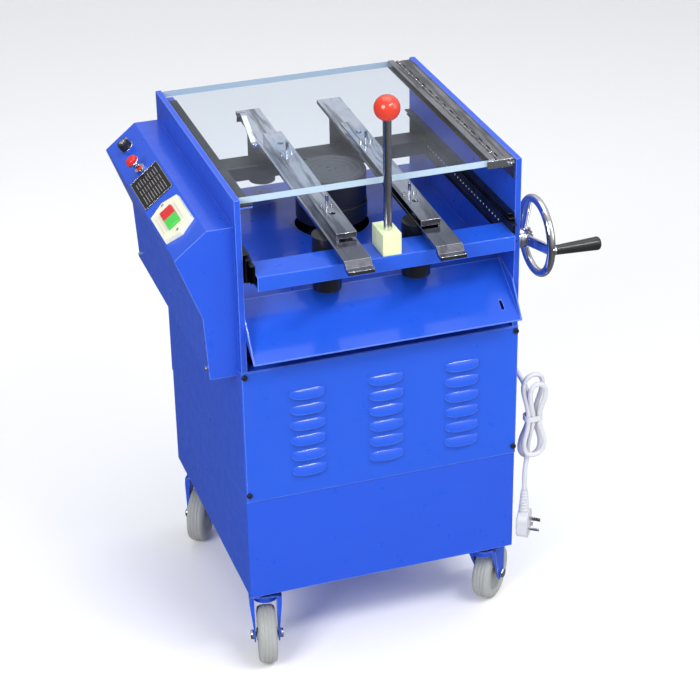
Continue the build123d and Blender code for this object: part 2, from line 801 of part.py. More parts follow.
with BuildPart() as cutter_disc:
    with BuildSketch(Plane.XY.offset(cutter_top - 10)):
        with Locations((cutter_x, cutter_y)):
            Circle(disc_radius)
    extrude(amount=10)
    fillet(cutter_disc.faces().sort_by(Axis.Z)[-1].edges(), 1.5)
    for ring_radius in (48.0, 38.0, 28.0):
        with BuildSketch(Plane.XY.offset(cutter_top)):
            with Locations((cutter_x, cutter_y)):
                Circle(ring_radius)
                Circle(ring_radius - 1.2, mode=Mode.SUBTRACT)
        extrude(amount=-0.8, mode=Mode.SUBTRACT)
    with BuildSketch(Plane.XY.offset(cutter_top)):
        with Locations((cutter_x, cutter_y)):
            with PolarLocations(7, 3):
                Circle(2.2)
    extrude(amount=-3, mode=Mode.SUBTRACT)
cutter_disc.part.label = "cutter_disc"
export_step(cutter_disc.part, "parts/cutter_disc.step")

with BuildPart() as cutter_drum:
    with BuildSketch(Plane.XZ.offset(-cutter_y)):
        with BuildLine():
            Polyline(
                (cutter_x, cutter_top - 10),
                (cutter_x + drum_radius, cutter_top - 10),
                (cutter_x + drum_radius, cutter_top - 46),
                (cutter_x + drum_radius - 3, cutter_top - 46),
                (cutter_x + drum_radius - 3, cutter_top - 50),
                (cutter_x + drum_radius + 1.5, cutter_top - 50),
                (cutter_x + drum_radius + 1.5, cutter_top - 78),
                (cutter_x + 10, cutter_top - 78),
                (cutter_x + 10, lift_plate_top + running_gap),
                (cutter_x, lift_plate_top + running_gap),
                close=True,
            )
        make_face()
    revolve(axis=Axis((cutter_x, cutter_y, 0), (0, 0, 1)))
cutter_drum.part.label = "cutter_drum"
export_step(cutter_drum.part, "parts/cutter_drum.step")

with BuildPart() as cutter_motor:
    with BuildSketch(Plane.XY.offset(lift_plate_top - lift_plate_thickness)):
        with Locations((cutter_x, cutter_y)):
            RectangleRounded(2 * guide_reach + 26, 2 * guide_reach + 26, 8)
        with Locations(*guide_places):
            Circle(guide_radius + fit_gap, mode=Mode.SUBTRACT)
    extrude(amount=lift_plate_thickness)
    with BuildSketch(Plane.XY.offset(lift_plate_top - lift_plate_thickness)):
        with Locations((cutter_x, cutter_y)):
            Circle(motor_radius)
    extrude(amount=-150)
cutter_motor.part.label = "cutter_motor"
export_step(cutter_motor.part, "parts/cutter_motor.step")

with BuildPart() as lift_guides:
    with BuildSketch(Plane.XY.offset(deck_top - sheet)):
        with Locations(*guide_places):
            Circle(guide_radius)
    extrude(amount=-110)
lift_guides.part.label = "lift_guides"
export_step(lift_guides.part, "parts/lift_guides.step")

# ---------------------------------------------------------------- handwheel on the right wall
rim_radius = 58.0
rim_section = 6.5
rim_x = right + 34.0
hub_radius = 15.0
shaft_radius = 6.0
hub_start = wall_out_right + 6.0
hub_end = right + 24.0
spoke_angles = (180.0, 60.0, -60.0)
grip_start = rim_x + 7.0
grip_end = rim_x + 80.0

with BuildPart() as handwheel_bush:
    cylinder_between(
        (wall_in_right, wheel_axis_y, wheel_axis_z), (wall_out_right, wheel_axis_y, wheel_axis_z), bush_radius
    )
    cylinder_between(
        (wall_out_right, wheel_axis_y, wheel_axis_z), (wall_out_right + 5, wheel_axis_y, wheel_axis_z), 16.0
    )
    cylinder_between(
        (wall_in_right - 1, wheel_axis_y, wheel_axis_z),
        (wall_out_right + 6, wheel_axis_y, wheel_axis_z),
        shaft_radius + fit_gap,
        Mode.SUBTRACT,
    )
handwheel_bush.part.label = "handwheel_bush"
export_step(handwheel_bush.part, "parts/handwheel_bush.step")

with BuildPart() as handwheel:
    with BuildSketch(Plane.XZ.offset(-wheel_axis_y)):
        with Locations((rim_x, wheel_axis_z + rim_radius)):
            Circle(rim_section)
    revolve(axis=Axis((0, wheel_axis_y, wheel_axis_z), (1, 0, 0)))
    cylinder_between((hub_start, wheel_axis_y, wheel_axis_z), (hub_end, wheel_axis_y, wheel_axis_z), hub_radius)
    for angle in spoke_angles:
        outward = Vector(0, cos(radians(angle)), sin(radians(angle)))
        axis_point = Vector(0, wheel_axis_y, wheel_axis_z)
        inner_end = axis_point + outward * 8 + Vector(right + 14.0, 0, 0)
        outer_end = axis_point + outward * rim_radius + Vector(rim_x, 0, 0)
        spoke = outer_end - inner_end
        across = Vector(1, 0, 0).cross(outward)
        with BuildSketch(Plane(origin=inner_end, x_dir=across, z_dir=spoke)):
            RectangleRounded(17, 7, 3)
        extrude(amount=spoke.length)
    cylinder_between(
        (wall_in_right - 3, wheel_axis_y, wheel_axis_z), (hub_start + 1, wheel_axis_y, wheel_axis_z), shaft_radius
    )
    cylinder_between(
        (rim_x, wheel_axis_y - rim_radius, wheel_axis_z), (grip_start, wheel_axis_y - rim_radius, wheel_axis_z), 6.0
    )
    cylinder_between(
        (rim_x, wheel_axis_y - rim_radius, wheel_axis_z), (grip_end - 5, wheel_axis_y - rim_radius, wheel_axis_z), 4.0
    )
handwheel.part.label = "handwheel"
export_step(handwheel.part, "parts/handwheel.step")

with BuildPart() as handwheel_grip:
    with BuildSketch(Plane.XZ.offset(-(wheel_axis_y - rim_radius))):
        with BuildLine():
            low_z = wheel_axis_z
            Polyline(
                (grip_start + running_gap, low_z),
                (grip_start + running_gap, low_z + 7.5),
                (grip_end - 5, low_z + 10.5),
            )
            RadiusArc((grip_end - 5, low_z + 10.5), (grip_end, low_z + 5.5), 5)
            Polyline((grip_end, low_z + 5.5), (grip_end, low_z), (grip_start + running_gap, low_z))
        make_face()
    revolve(axis=Axis((0, wheel_axis_y - rim_radius, wheel_axis_z), (1, 0, 0)))
    cylinder_between(
        (grip_start - 1, wheel_axis_y - rim_radius, wheel_axis_z),
        (grip_end - 4.5, wheel_axis_y - rim_radius, wheel_axis_z),
        4.0 + fit_gap,
        Mode.SUBTRACT,
    )
handwheel_grip.part.label = "handwheel_grip"
export_step(handwheel_grip.part, "parts/handwheel_grip.step")

# ---------------------------------------------------------------- casters
wheel_radius = 47.5
tyre_half_width = 15.0
hub_half_width = 17.0
axle_radius = 4.0
trail = 28.0
pivot_inset_x = 35.0
pivot_inset_y = 42.0
race_height = 13.0
crown_top = base_bottom - race_height - 3.0 - running_gap
caster_pivots = {
    "front_left": (left + pivot_inset_x, front + pivot_inset_y, 167.0),
    "front_right": (right - pivot_inset_x, front + pivot_inset_y, -45.0),
    "rear_left": (left + pivot_inset_x, rear - pivot_inset_y, 150.0),
    "rear_right": (right - pivot_inset_x, rear - pivot_inset_y, 30.0),
}

with BuildPart() as caster_plates:
    pivot_points = [(x, y) for x, y, turn in caster_pivots.values()]
    with BuildSketch(Plane.XY.offset(base_bottom - 3)):
        with Locations(*pivot_points):
            RectangleRounded(60, 60, 5)
    extrude(amount=3)
    with BuildSketch(Plane.XY.offset(base_bottom - 3 - race_height)):
        with Locations(*pivot_points):
            Circle(21)
    extrude(amount=race_height)
caster_plates.part.label = "caster_plates"
export_step(caster_plates.part, "parts/caster_plates.step")

# One caster is drawn at the origin, its wheel trailing towards +Y, then placed four times.
# A pressed fork leg is broad at its shoulder and narrows down to the axle.
with BuildPart() as fork_leg:
    leg_x = hub_half_width + 1.35
    with BuildSketch(Plane.YZ.offset(leg_x)):
        with BuildLine():
            Polyline(
                (-14, crown_top - 0.5),
                (24, crown_top - 0.5),
                (trail + 12, wheel_radius + 4),
                (trail + 8, wheel_radius - 10),
                (trail - 8, wheel_radius - 10),
                (trail - 13, wheel_radius + 4),
                close=True,
            )
        make_face()
    extrude(amount=12)
    with BuildSketch(Plane.XZ.offset(20)):
        with BuildLine():
            Polyline(
                (leg_x, wheel_radius - 11),
                (leg_x + 2.5, wheel_radius - 11),
                (leg_x + 2.5, wheel_radius + 10),
                (leg_x + 8, crown_top - 12),
                (leg_x + 8, crown_top),
                (leg_x, crown_top),
                close=True,
            )
        make_face()
    extrude(amount=-100, mode=Mode.INTERSECT)

with BuildPart() as fork_pattern:
    with BuildSketch(Plane.XY.offset(crown_top - 3)):
        Circle(25)
        with Locations((0, 6)):
            Rectangle(42, 34)
    extrude(amount=3)
    with BuildSketch(Plane.XY.offset(crown_top - 14)):
        Circle(21)
    extrude(amount=12)
    add(fork_leg.part)
    add(fork_leg.part.mirror(Plane.YZ))
    cylinder_between((-24, trail, wheel_radius), (24, trail, wheel_radius), axle_radius)
    for nut_side in (-1, 1):
        nut_x = nut_side * (hub_half_width + 3.85)
        with BuildSketch(Plane(origin=(nut_x, trail, wheel_radius), z_dir=(nut_side, 0, 0))):
            RegularPolygon(7, 6)
        extrude(amount=5)

with BuildPart() as wheel_pattern:
    with BuildSketch(Plane.XZ.offset(-trail)):
        with BuildLine():
            Polyline(
                (0, wheel_radius + axle_radius + fit_gap),
                (hub_half_width, wheel_radius + axle_radius + fit_gap),
                (hub_half_width, wheel_radius + 11),
                (tyre_half_width - 5, wheel_radius + 14),
                (tyre_half_width - 5, wheel_radius + 30),
                (tyre_half_width, wheel_radius + 34),
                (tyre_half_width, 2 * wheel_radius - 5),
                (tyre_half_width - 5, 2 * wheel_radius),
                (0, 2 * wheel_radius),
                close=True,
            )
        make_face()
        mirror(about=Plane.YZ)
    revolve(axis=Axis((0, trail, wheel_radius), (1, 0, 0)))

for place, (pivot_x, pivot_y, turn) in caster_pivots.items():
    with BuildPart() as caster_fork:
        with Locations(Location((pivot_x, pivot_y, 0), (0, 0, turn))):
            add(fork_pattern.part)
    caster_fork.part.label = f"caster_fork_{place}"
    export_step(caster_fork.part, f"parts/caster_fork_{place}.step")

    with BuildPart() as caster_wheel:
        with Locations(Location((pivot_x, pivot_y, 0), (0, 0, turn))):
            add(wheel_pattern.part)
    caster_wheel.part.label = f"caster_wheel_{place}"
    export_step(caster_wheel.part, f"parts/caster_wheel_{place}.step")

# ---------------------------------------------------------------- mains cord
cord_radius = 4.0
hank_x = (right + 15.0, right + 59.0)
hank_y = (front + 5.0, front + 35.0)
hank_z = (base_bottom + 145.0, base_bottom + 300.0)
hank_mid_x = sum(hank_x) / 2
hank_mid_y = sum(hank_y) / 2
tie_z = base_bottom + 226.0
tie_height = 9.0
waist_width = 27.0
waist_depth = 17.0

gland_y = front + 186.0
gland_z = base_bottom + 314.0
gland_line_x = right + 17.0
lead_start = (gland_line_x, gland_y - 42.0, gland_z)
lead_points = [
    lead_start,
    (right + 17.5, front + 102.0, base_bottom + 308.0),
    (right + 24.0, front + 62.0, base_bottom + 293.0),
    (right + 32.0, hank_y[1] - 4.0, base_bottom + 270.0),
]
tail_points = [
    (hank_x[0] + 14.0, hank_mid_y, hank_z[0] + 10.0),
    (right + 21.5, front + 12.0, base_bottom + 124.0),
    (right + 21.0, front + 8.0, base_bottom + 98.0),
]


def bend_radii(points):
    """The fillet radius at each inner point of a cord's route."""
    radii = []
    for before, here, after in zip(points, points[1:], points[2:]):
        arriving = Vector(*here) - Vector(*before)
        leaving = Vector(*after) - Vector(*here)
        half_turn = radians(arriving.get_angle(leaving)) / 2
        radii.append(0.45 * min(arriving.length, leaving.length) / tan(half_turn))
    return radii


print("lead bend radii, in cord diameters:", [round(r / (2 * cord_radius), 1) for r in bend_radii(lead_points)])
print("tail bend radii, in cord diameters:", [round(r / (2 * cord_radius), 1) for r in bend_radii(tail_points)])

with BuildPart() as cord_gland:
    cylinder_between((right, gland_y, gland_z), (right + 4, gland_y, gland_z), 13.0)
    cylinder_between((right, gland_y, gland_z), (gland_line_x, gland_y, gland_z), 8.5)
    with Locations((gland_line_x, gland_y, gland_z)):
        Sphere(8.5)
    with Locations(Plane(origin=(gland_line_x, gland_y, gland_z), z_dir=(0, -1, 0)).location):
        Cone(8.0, cord_radius + 1.0, 42.0, align=(Align.CENTER, Align.CENTER, Align.MIN))
cord_gland.part.label = "cord_gland"
export_step(cord_gland.part, "parts/cord_gland.step")


with BuildPart() as cord_lead:
    with BuildLine() as lead_line:
        FilletPolyline(*lead_points, radius=bend_radii(lead_points))
    with BuildSketch(Plane(origin=lead_points[0], z_dir=lead_line.line % 0)):
        Circle(cord_radius)
    sweep()
cord_lead.part.label = "cord_lead"
export_step(cord_lead.part, "parts/cord_lead.step")

with BuildPart() as cord_hank:
    with BuildSketch(Plane.XZ.offset(-hank_y[1])):
        with Locations((hank_mid_x, (tie_z + hank_z[1]) / 2)):
            RectangleRounded(hank_x[1] - hank_x[0], hank_z[1] - tie_z - 14, 21)
        with Locations((hank_mid_x, (tie_z + hank_z[0]) / 2)):
            RectangleRounded(hank_x[1] - hank_x[0], tie_z - hank_z[0] - 14, 21)
    extrude(amount=hank_y[1] - hank_y[0])
    fillet(cord_hank.edges(), 6)
    with BuildSketch(Plane.XY.offset(tie_z - 16)):
        with Locations((hank_mid_x, hank_mid_y)):
            RectangleRounded(waist_width, waist_depth, 6)
    extrude(amount=32)
cord_hank.part.label = "cord_hank"
export_step(cord_hank.part, "parts/cord_hank.step")

with BuildPart() as cord_tie:
    with BuildSketch(Plane.XY.offset(tie_z - tie_height / 2)):
        with Locations((hank_mid_x, hank_mid_y)):
            RectangleRounded(waist_width + 4, waist_depth + 4, 8)
            RectangleRounded(waist_width, waist_depth, 6, mode=Mode.SUBTRACT)
    extrude(amount=tie_height)
cord_tie.part.label = "cord_tie"
export_step(cord_tie.part, "parts/cord_tie.step")

with BuildPart() as cord_tail:
    with BuildLine() as tail_line:
        FilletPolyline(*tail_points, radius=bend_radii(tail_points))
    with BuildSketch(Plane(origin=tail_points[0], z_dir=tail_line.line % 0)):
        Circle(cord_radius)
    sweep()
cord_tail.part.label = "cord_tail"
export_step(cord_tail.part, "parts/cord_tail.step")

# ---------------------------------------------------------------- mains plug
relief_length = 43.0
plug_width = 38.0
plug_height = 46.0
plug_thickness = 19.0
plug_turn = -35.0
pin_length = 18.0
pin_size = (1.7, 6.4)
plug_top = tail_points[-1][2] - relief_length + 3
plug_centre = (tail_points[-1][0], tail_points[-1][1], plug_top - plug_height / 2)
plug_out = Vector(cos(radians(plug_turn)), sin(radians(plug_turn)), 0)
plug_across = Vector(-sin(radians(plug_turn)), cos(radians(plug_turn)), 0)
plug_plane = Plane(origin=plug_centre, x_dir=plug_across, z_dir=plug_out)

with BuildPart() as plug_body:
    with BuildSketch(plug_plane.offset(-plug_thickness / 2)):
        RectangleRounded(plug_width, plug_height, 14)
    extrude(amount=plug_thickness)
    fillet(plug_body.faces().sort_by(Axis(plug_centre, plug_out))[0].edges(), 4)
    with Locations(Location((plug_centre[0], plug_centre[1], plug_top - 3))):
        Cone(8.0, cord_radius + 1.2, relief_length, align=(Align.CENTER, Align.CENTER, Align.MIN))
plug_body.part.label = "plug_body"
export_step(plug_body.part, "parts/plug_body.step")

with BuildPart() as plug_pins:
    with BuildSketch(plug_plane.offset(plug_thickness / 2)):
        with Locations(Location((0, 9), 0)):
            Rectangle(pin_size[0], pin_size[1])
        with Locations(Location((-8, -6), 30)):
            Rectangle(pin_size[0], pin_size[1])
        with Locations(Location((8, -6), -30)):
            Rectangle(pin_size[0], pin_size[1])
    extrude(amount=pin_length)
plug_pins.part.label = "plug_pins"
export_step(plug_pins.part, "parts/plug_pins.step")
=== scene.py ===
"""Looks for a component lead cutting machine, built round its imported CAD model.

Metres, +X to the operator's right, +Y to the rear, +Z up, floor at z = 0.
"""

import math

import bmesh
import bpy
from mathutils import Matrix, Vector


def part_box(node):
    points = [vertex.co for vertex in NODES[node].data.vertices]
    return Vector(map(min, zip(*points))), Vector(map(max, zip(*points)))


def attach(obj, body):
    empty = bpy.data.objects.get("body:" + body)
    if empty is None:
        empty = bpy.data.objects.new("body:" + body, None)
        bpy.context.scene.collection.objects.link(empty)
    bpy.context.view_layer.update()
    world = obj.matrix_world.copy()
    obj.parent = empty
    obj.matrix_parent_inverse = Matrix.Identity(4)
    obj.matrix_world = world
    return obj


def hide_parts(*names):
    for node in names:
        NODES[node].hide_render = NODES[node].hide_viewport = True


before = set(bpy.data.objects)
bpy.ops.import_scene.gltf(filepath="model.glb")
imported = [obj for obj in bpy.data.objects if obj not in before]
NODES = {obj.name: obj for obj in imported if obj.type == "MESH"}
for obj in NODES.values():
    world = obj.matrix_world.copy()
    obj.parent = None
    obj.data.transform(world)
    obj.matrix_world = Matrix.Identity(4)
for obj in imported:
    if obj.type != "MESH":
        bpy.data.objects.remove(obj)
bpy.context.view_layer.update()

MM = 0.001

# ------------------------------------------------------------------ camera
AZIMUTH = math.radians(-18.191)
ELEVATION = math.radians(28.252)
ROLL = math.radians(-0.986)
CAMERA_PLACE = Vector((-0.93269, -2.86300, 2.04505))
LENS_MM = 107.33


def make_camera():
    back = Vector(
        (
            math.sin(AZIMUTH) * math.cos(ELEVATION),
            -math.cos(AZIMUTH) * math.cos(ELEVATION),
            math.sin(ELEVATION),
        )
    )
    level_right = (-back).cross(Vector((0, 0, 1))).normalized()
    level_up = level_right.cross(-back)
    right = math.cos(ROLL) * level_right + math.sin(ROLL) * level_up
    up = -math.sin(ROLL) * level_right + math.cos(ROLL) * level_up
    data = bpy.data.cameras.new("camera")
    data.lens = LENS_MM
    data.sensor_width = 36.0
    data.clip_end = 30.0
    camera = bpy.data.objects.new("camera", data)
    turn = Matrix((right, up, back)).transposed()
    camera.matrix_world = Matrix.Translation(CAMERA_PLACE) @ turn.to_4x4()
    bpy.context.scene.collection.objects.link(camera)
    bpy.context.scene.camera = camera


make_camera()
bpy.context.scene.view_settings.view_transform = "Standard"


# ------------------------------------------------------------------ material helpers
def map_range(tree, value, low, high, out_low, out_high):
    """Maps value from low..high to out_low..out_high."""
    node = tree.nodes.new("ShaderNodeMapRange")
    limits = {"From Min": low, "From Max": high, "To Min": out_low, "To Max": out_high}
    for socket, number in limits.items():
        node.inputs[socket].default_value = number
    tree.links.new(value, node.inputs["Value"])
    return node.outputs["Result"]


def math_node(tree, operation, *operands):
    """A math node; each operand is another node's output or a plain number."""
    node = tree.nodes.new("ShaderNodeMath")
    node.operation = operation
    for socket, operand in zip(node.inputs, operands):
        if isinstance(operand, float):
            socket.default_value = operand
        else:
            tree.links.new(operand, socket)
    return node.outputs["Value"]


def mix_shaders(tree, factor, first, second):
    """The first shader where factor is 0 and the second where it is 1."""
    node = tree.nodes.new("ShaderNodeMixShader")
    tree.links.new(factor, node.inputs["Fac"])
    tree.links.new(first, node.inputs[1])
    tree.links.new(second, node.inputs[2])
    return node.outputs["Shader"]


class Shader:
    """A material with one Principled shader and a few procedural layers."""

    def __init__(self, name, colour, roughness, metallic=0.0, **sockets):
        self.material = bpy.data.materials.new(name)
        self.material.use_nodes = True
        self.nodes = self.material.node_tree.nodes
        self.links = self.material.node_tree.links
        self.shader = self.nodes["Principled BSDF"]
        self.colour = colour
        self.shader.inputs["Base Color"].default_value = (*colour, 1)
        self.shader.inputs["Roughness"].default_value = roughness
        self.shader.inputs["Metallic"].default_value = metallic
        for socket, value in sockets.items():
            self.shader.inputs[socket.replace("_", " ")].default_value = value
        self.base = None
        self.normal = None
        self.place = self.nodes.new("ShaderNodeTexCoord").outputs["Object"]

    def node(self, kind, **settings):
        made = self.nodes.new(kind)
        for key, value in settings.items():
            setattr(made, key, value)
        return made

    def stretched(self, scale):
        """The object's own coordinates, scaled differently along each axis."""
        mapping = self.node("ShaderNodeMapping")
        mapping.inputs["Scale"].default_value = scale
        self.links.new(self.place, mapping.inputs["Vector"])
        return mapping.outputs["Vector"]

    def along(self, axis):
        """The object's own coordinate along one axis, in metres."""
        split = self.node("ShaderNodeSeparateXYZ")
        self.links.new(self.place, split.inputs["Vector"])
        return split.outputs[axis]

    def noise(self, scale, detail=3.0, roughness=0.55, vector=None):
        noise = self.node("ShaderNodeTexNoise")
        noise.inputs["Scale"].default_value = scale
        noise.inputs["Detail"].default_value = detail
        noise.inputs["Roughness"].default_value = roughness
        self.links.new(vector or self.place, noise.inputs["Vector"])
        return noise.outputs["Fac"]

    def remap(self, value, low, high, out_low, out_high):
        return map_range(self.material.node_tree, value, low, high, out_low, out_high)

    def tint(self, factor, other):
        """Mixes the base colour towards another where factor is high."""
        mix = self.node("ShaderNodeMix", data_type="RGBA")
        self.links.new(factor, mix.inputs["Factor"])
        if self.base is None:
            mix.inputs["A"].default_value = (*self.colour, 1)
        else:
            self.links.new(self.base, mix.inputs["A"])
        mix.inputs["B"].default_value = (*other, 1)
        self.base = mix.outputs["Result"]
        self.links.new(self.base, self.shader.inputs["Base Color"])
        return self

    def vary_roughness(self, value, low, high):
        spread = self.remap(value, 0.3, 0.7, low, high)
        self.links.new(spread, self.shader.inputs["Roughness"])
        return self

    def rounded_edges(self, radius):
        bevel = self.node("ShaderNodeBevel", samples=4)
        bevel.inputs["Radius"].default_value = radius
        self.normal = bevel.outputs["Normal"]
        self.links.new(self.normal, self.shader.inputs["Normal"])
        return self

    def bump(self, height, distance, strength=1.0):
        bump = self.node("ShaderNodeBump")
        bump.inputs["Strength"].default_value = strength
        bump.inputs["Distance"].default_value = distance
        self.links.new(height, bump.inputs["Height"])
        if self.normal is not None:
            self.links.new(self.normal, bump.inputs["Normal"])
        self.normal = bump.outputs["Normal"]
        self.links.new(self.normal, self.shader.inputs["Normal"])
        return self

    def edge_mask(self, radius):
        """High where a rounded edge turns away from the flat face."""
        bevel = self.node("ShaderNodeBevel", samples=4)
        bevel.inputs["Radius"].default_value = radius
        geometry = self.node("ShaderNodeNewGeometry")
        dot = self.node("ShaderNodeVectorMath", operation="DOT_PRODUCT")
        self.links.new(bevel.outputs["Normal"], dot.inputs[0])
        self.links.new(geometry.outputs["Normal"], dot.inputs[1])
        return self.remap(dot.outputs["Value"], 0.99, 0.8, 0.0, 1.0)


def painted(name, colour, edge_highlight, roughness=0.3):
    """Gloss powder coat: orange peel, slight colour drift, and a painted highlight along its edges."""
    paint = Shader(name, colour, roughness, Coat_Weight=0.3, Coat_Roughness=0.09, Specular_IOR_Level=0.25)
    drift = paint.noise(4.0, 2.0)
    paint.tint(paint.remap(drift, 0.35, 0.75, 0.0, 0.22), tuple(0.82 * c for c in colour))
    # Painted highlight: rounded edges are tinted towards a paler colour in place of the light lines they
    # catch.
    paint.tint(paint.edge_mask(1.8 * MM), edge_highlight)
    dust = paint.noise(38.0, 6.0, 0.7)
    paint.vary_roughness(dust, roughness - 0.05, roughness + 0.12)
    paint.rounded_edges(1.2 * MM)
    paint.bump(paint.noise(420.0, 2.0), 0.00008, 0.35)
    return paint.material


def rolled_steel(name, colour, roughness, along="Y", streak=0.5, dark=None, dark_reflection=None, edge=None, shaded_front=None):
    """Metal with fine lines along one axis and faint smears.

    band is the colour of painted dark reflection streaks, edge that of a painted highlight along the
    edges, and front the two depths between which the painted shade of a darkened front end, in the streaks'
    colour, fades out.
    """
    steel = Shader(name, colour, roughness, 1.0)
    scales = {"X": (3, 260, 260), "Y": (260, 3, 260), "Z": (260, 260, 3)}
    lines = steel.noise(1.0, 4.0, 0.6, steel.stretched(scales[along]))
    smears = steel.noise(22.0, 4.0, 0.6)
    if dark is not None:
        steel.tint(steel.remap(smears, 0.45, 0.75, 0.0, 0.7), dark)
    # Painted dark reflection streaks.
    if dark_reflection is not None:
        reflection_streaks = steel.noise(1.0, 3.0, 0.6, steel.stretched((75, 6, 75)))
        steel.tint(steel.remap(reflection_streaks, 0.50, 0.62, 0.0, 0.75), dark_reflection)
    # Painted shade: towards the front end the colour darkens to that of the streaks.
    if shaded_front is not None:
        steel.tint(steel.remap(steel.along("Y"), shaded_front[0], shaded_front[1], 0.85, 0.0), dark_reflection)
    # Painted highlight along the rounded edges.
    if edge is not None:
        steel.tint(steel.edge_mask(1.2 * MM), edge)
    steel.vary_roughness(lines, roughness - 0.06, roughness + 0.12)
    steel.rounded_edges(0.8 * MM)
    steel.bump(lines, 0.00005, streak)
    return steel.material


def plastic(name, colour, roughness, grain=0.2, other=None, **sockets):
    """Moulded plastic with a fine grain and a slight cloudiness."""
    resin = Shader(name, colour, roughness, 0.0, **sockets)
    cloud = resin.noise(30.0, 3.0)
    other = other or tuple(0.85 * c for c in colour)
    resin.tint(resin.remap(cloud, 0.35, 0.75, 0.0, 0.35), other)
    resin.vary_roughness(cloud, roughness - 0.05, roughness + 0.08)
    resin.rounded_edges(0.5 * MM)
    resin.bump(resin.noise(900.0, 2.0), 0.00005, grain)
    return resin.material


BLUE = painted("cabinet_blue", (0.014, 0.080, 0.60), (0.26, 0.40, 0.92))
BRIGHT_BLUE = painted("louvre_blue", (0.013, 0.088, 0.61), (0.28, 0.44, 0.95))
BLACK = painted("black_paint", (0.012, 0.012, 0.014), (0.05, 0.05, 0.055), 0.36)
SLIDE = rolled_steel("black_slide", (0.045, 0.045, 0.05), 0.34, "Y", 0.3, (0.16, 0.16, 0.17))
BLUED = rolled_steel("blued_steel", (0.055, 0.055, 0.06), 0.36, "X", 0.3, (0.12, 0.12, 0.13))
# Its dark streaks, darkened front end and pale edges are painted reflection, shade and highlight.
RAIL = rolled_steel(
    "rail_steel",
    (0.80, 0.82, 0.87),
    0.15,
    dark=(0.50, 0.51, 0.56),
    dark_reflection=(0.12, 0.12, 0.15),
    edge=(0.95, 0.96, 0.98),
    streak=0.25,
    shaded_front=(-0.24, -0.02),
)
DRUM = painted("cutter_steel", (0.030, 0.030, 0.034), (0.16, 0.16, 0.17), 0.4)
DISC = painted("disc_steel", (0.055, 0.055, 0.062), (0.20, 0.20, 0.21), 0.4)
# Its dark streaks and pale edges are painted reflection and highlight.
RUNNER = rolled_steel(
    "runner_steel",
    (0.34, 0.34, 0.36),
    0.24,
    dark=(0.16, 0.16, 0.17),
    dark_reflection=(0.07, 0.07, 0.08),
    edge=(0.85, 0.85, 0.87),
    streak=0.25,
)
BRIGHT = rolled_steel("bright_steel", (0.66, 0.67, 0.69), 0.2, "Z", 0.2, (0.4, 0.4, 0.42))
TRIM = rolled_steel("cover_trim", (0.50, 0.50, 0.52), 0.22, "Y", 0.25, (0.22, 0.21, 0.2))
CHROME = rolled_steel("chrome_bright", (0.78, 0.78, 0.8), 0.07, "Z", 0.05, (0.6, 0.6, 0.62))
MOTOR = painted("cast_motor", (0.05, 0.055, 0.065), (0.12, 0.12, 0.13), 0.5)
NYLON = plastic(
    "block_nylon",
    (0.68, 0.77, 0.43),
    0.3,
    0.2,
    (0.74, 0.79, 0.56),
    Subsurface_Weight=0.25,
    Subsurface_Radius=(0.01, 0.012, 0.006),
)
BALL = plastic("ball_red", (0.64, 0.048, 0.024), 0.16, 0.02, Coat_Weight=0.3)
RED = plastic("button_red", (0.62, 0.02, 0.02), 0.28)
GREEN = plastic("button_green", (0.06, 0.56, 0.07), 0.28)
CREAM = plastic("switch_cream", (0.76, 0.76, 0.62), 0.35, 0.25)
KNOB = plastic("knob_black", (0.015, 0.015, 0.017), 0.3, 0.3)
PLATE = plastic("plate_black", (0.016, 0.014, 0.014), 0.42, 0.1, Specular_IOR_Level=0.3)
STRIP = plastic("strip_rubber", (0.018, 0.018, 0.02), 0.5, 0.5)
TYRE = plastic("tyre_grey", (0.36, 0.37, 0.36), 0.62, 0.6, (0.27, 0.28, 0.27))
HUB = plastic("hub_grey", (0.30, 0.31, 0.31), 0.45, 0.3)
CORD = plastic("cord_white", (0.60, 0.61, 0.64), 0.4, 0.25, (0.50, 0.51, 0.55))
# Painted shade: a near-black material for hollows where only shadow is seen.
PAINTED_SHADE = plastic("painted_shade_gap", (0.006, 0.007, 0.012), 0.8, 0.1)


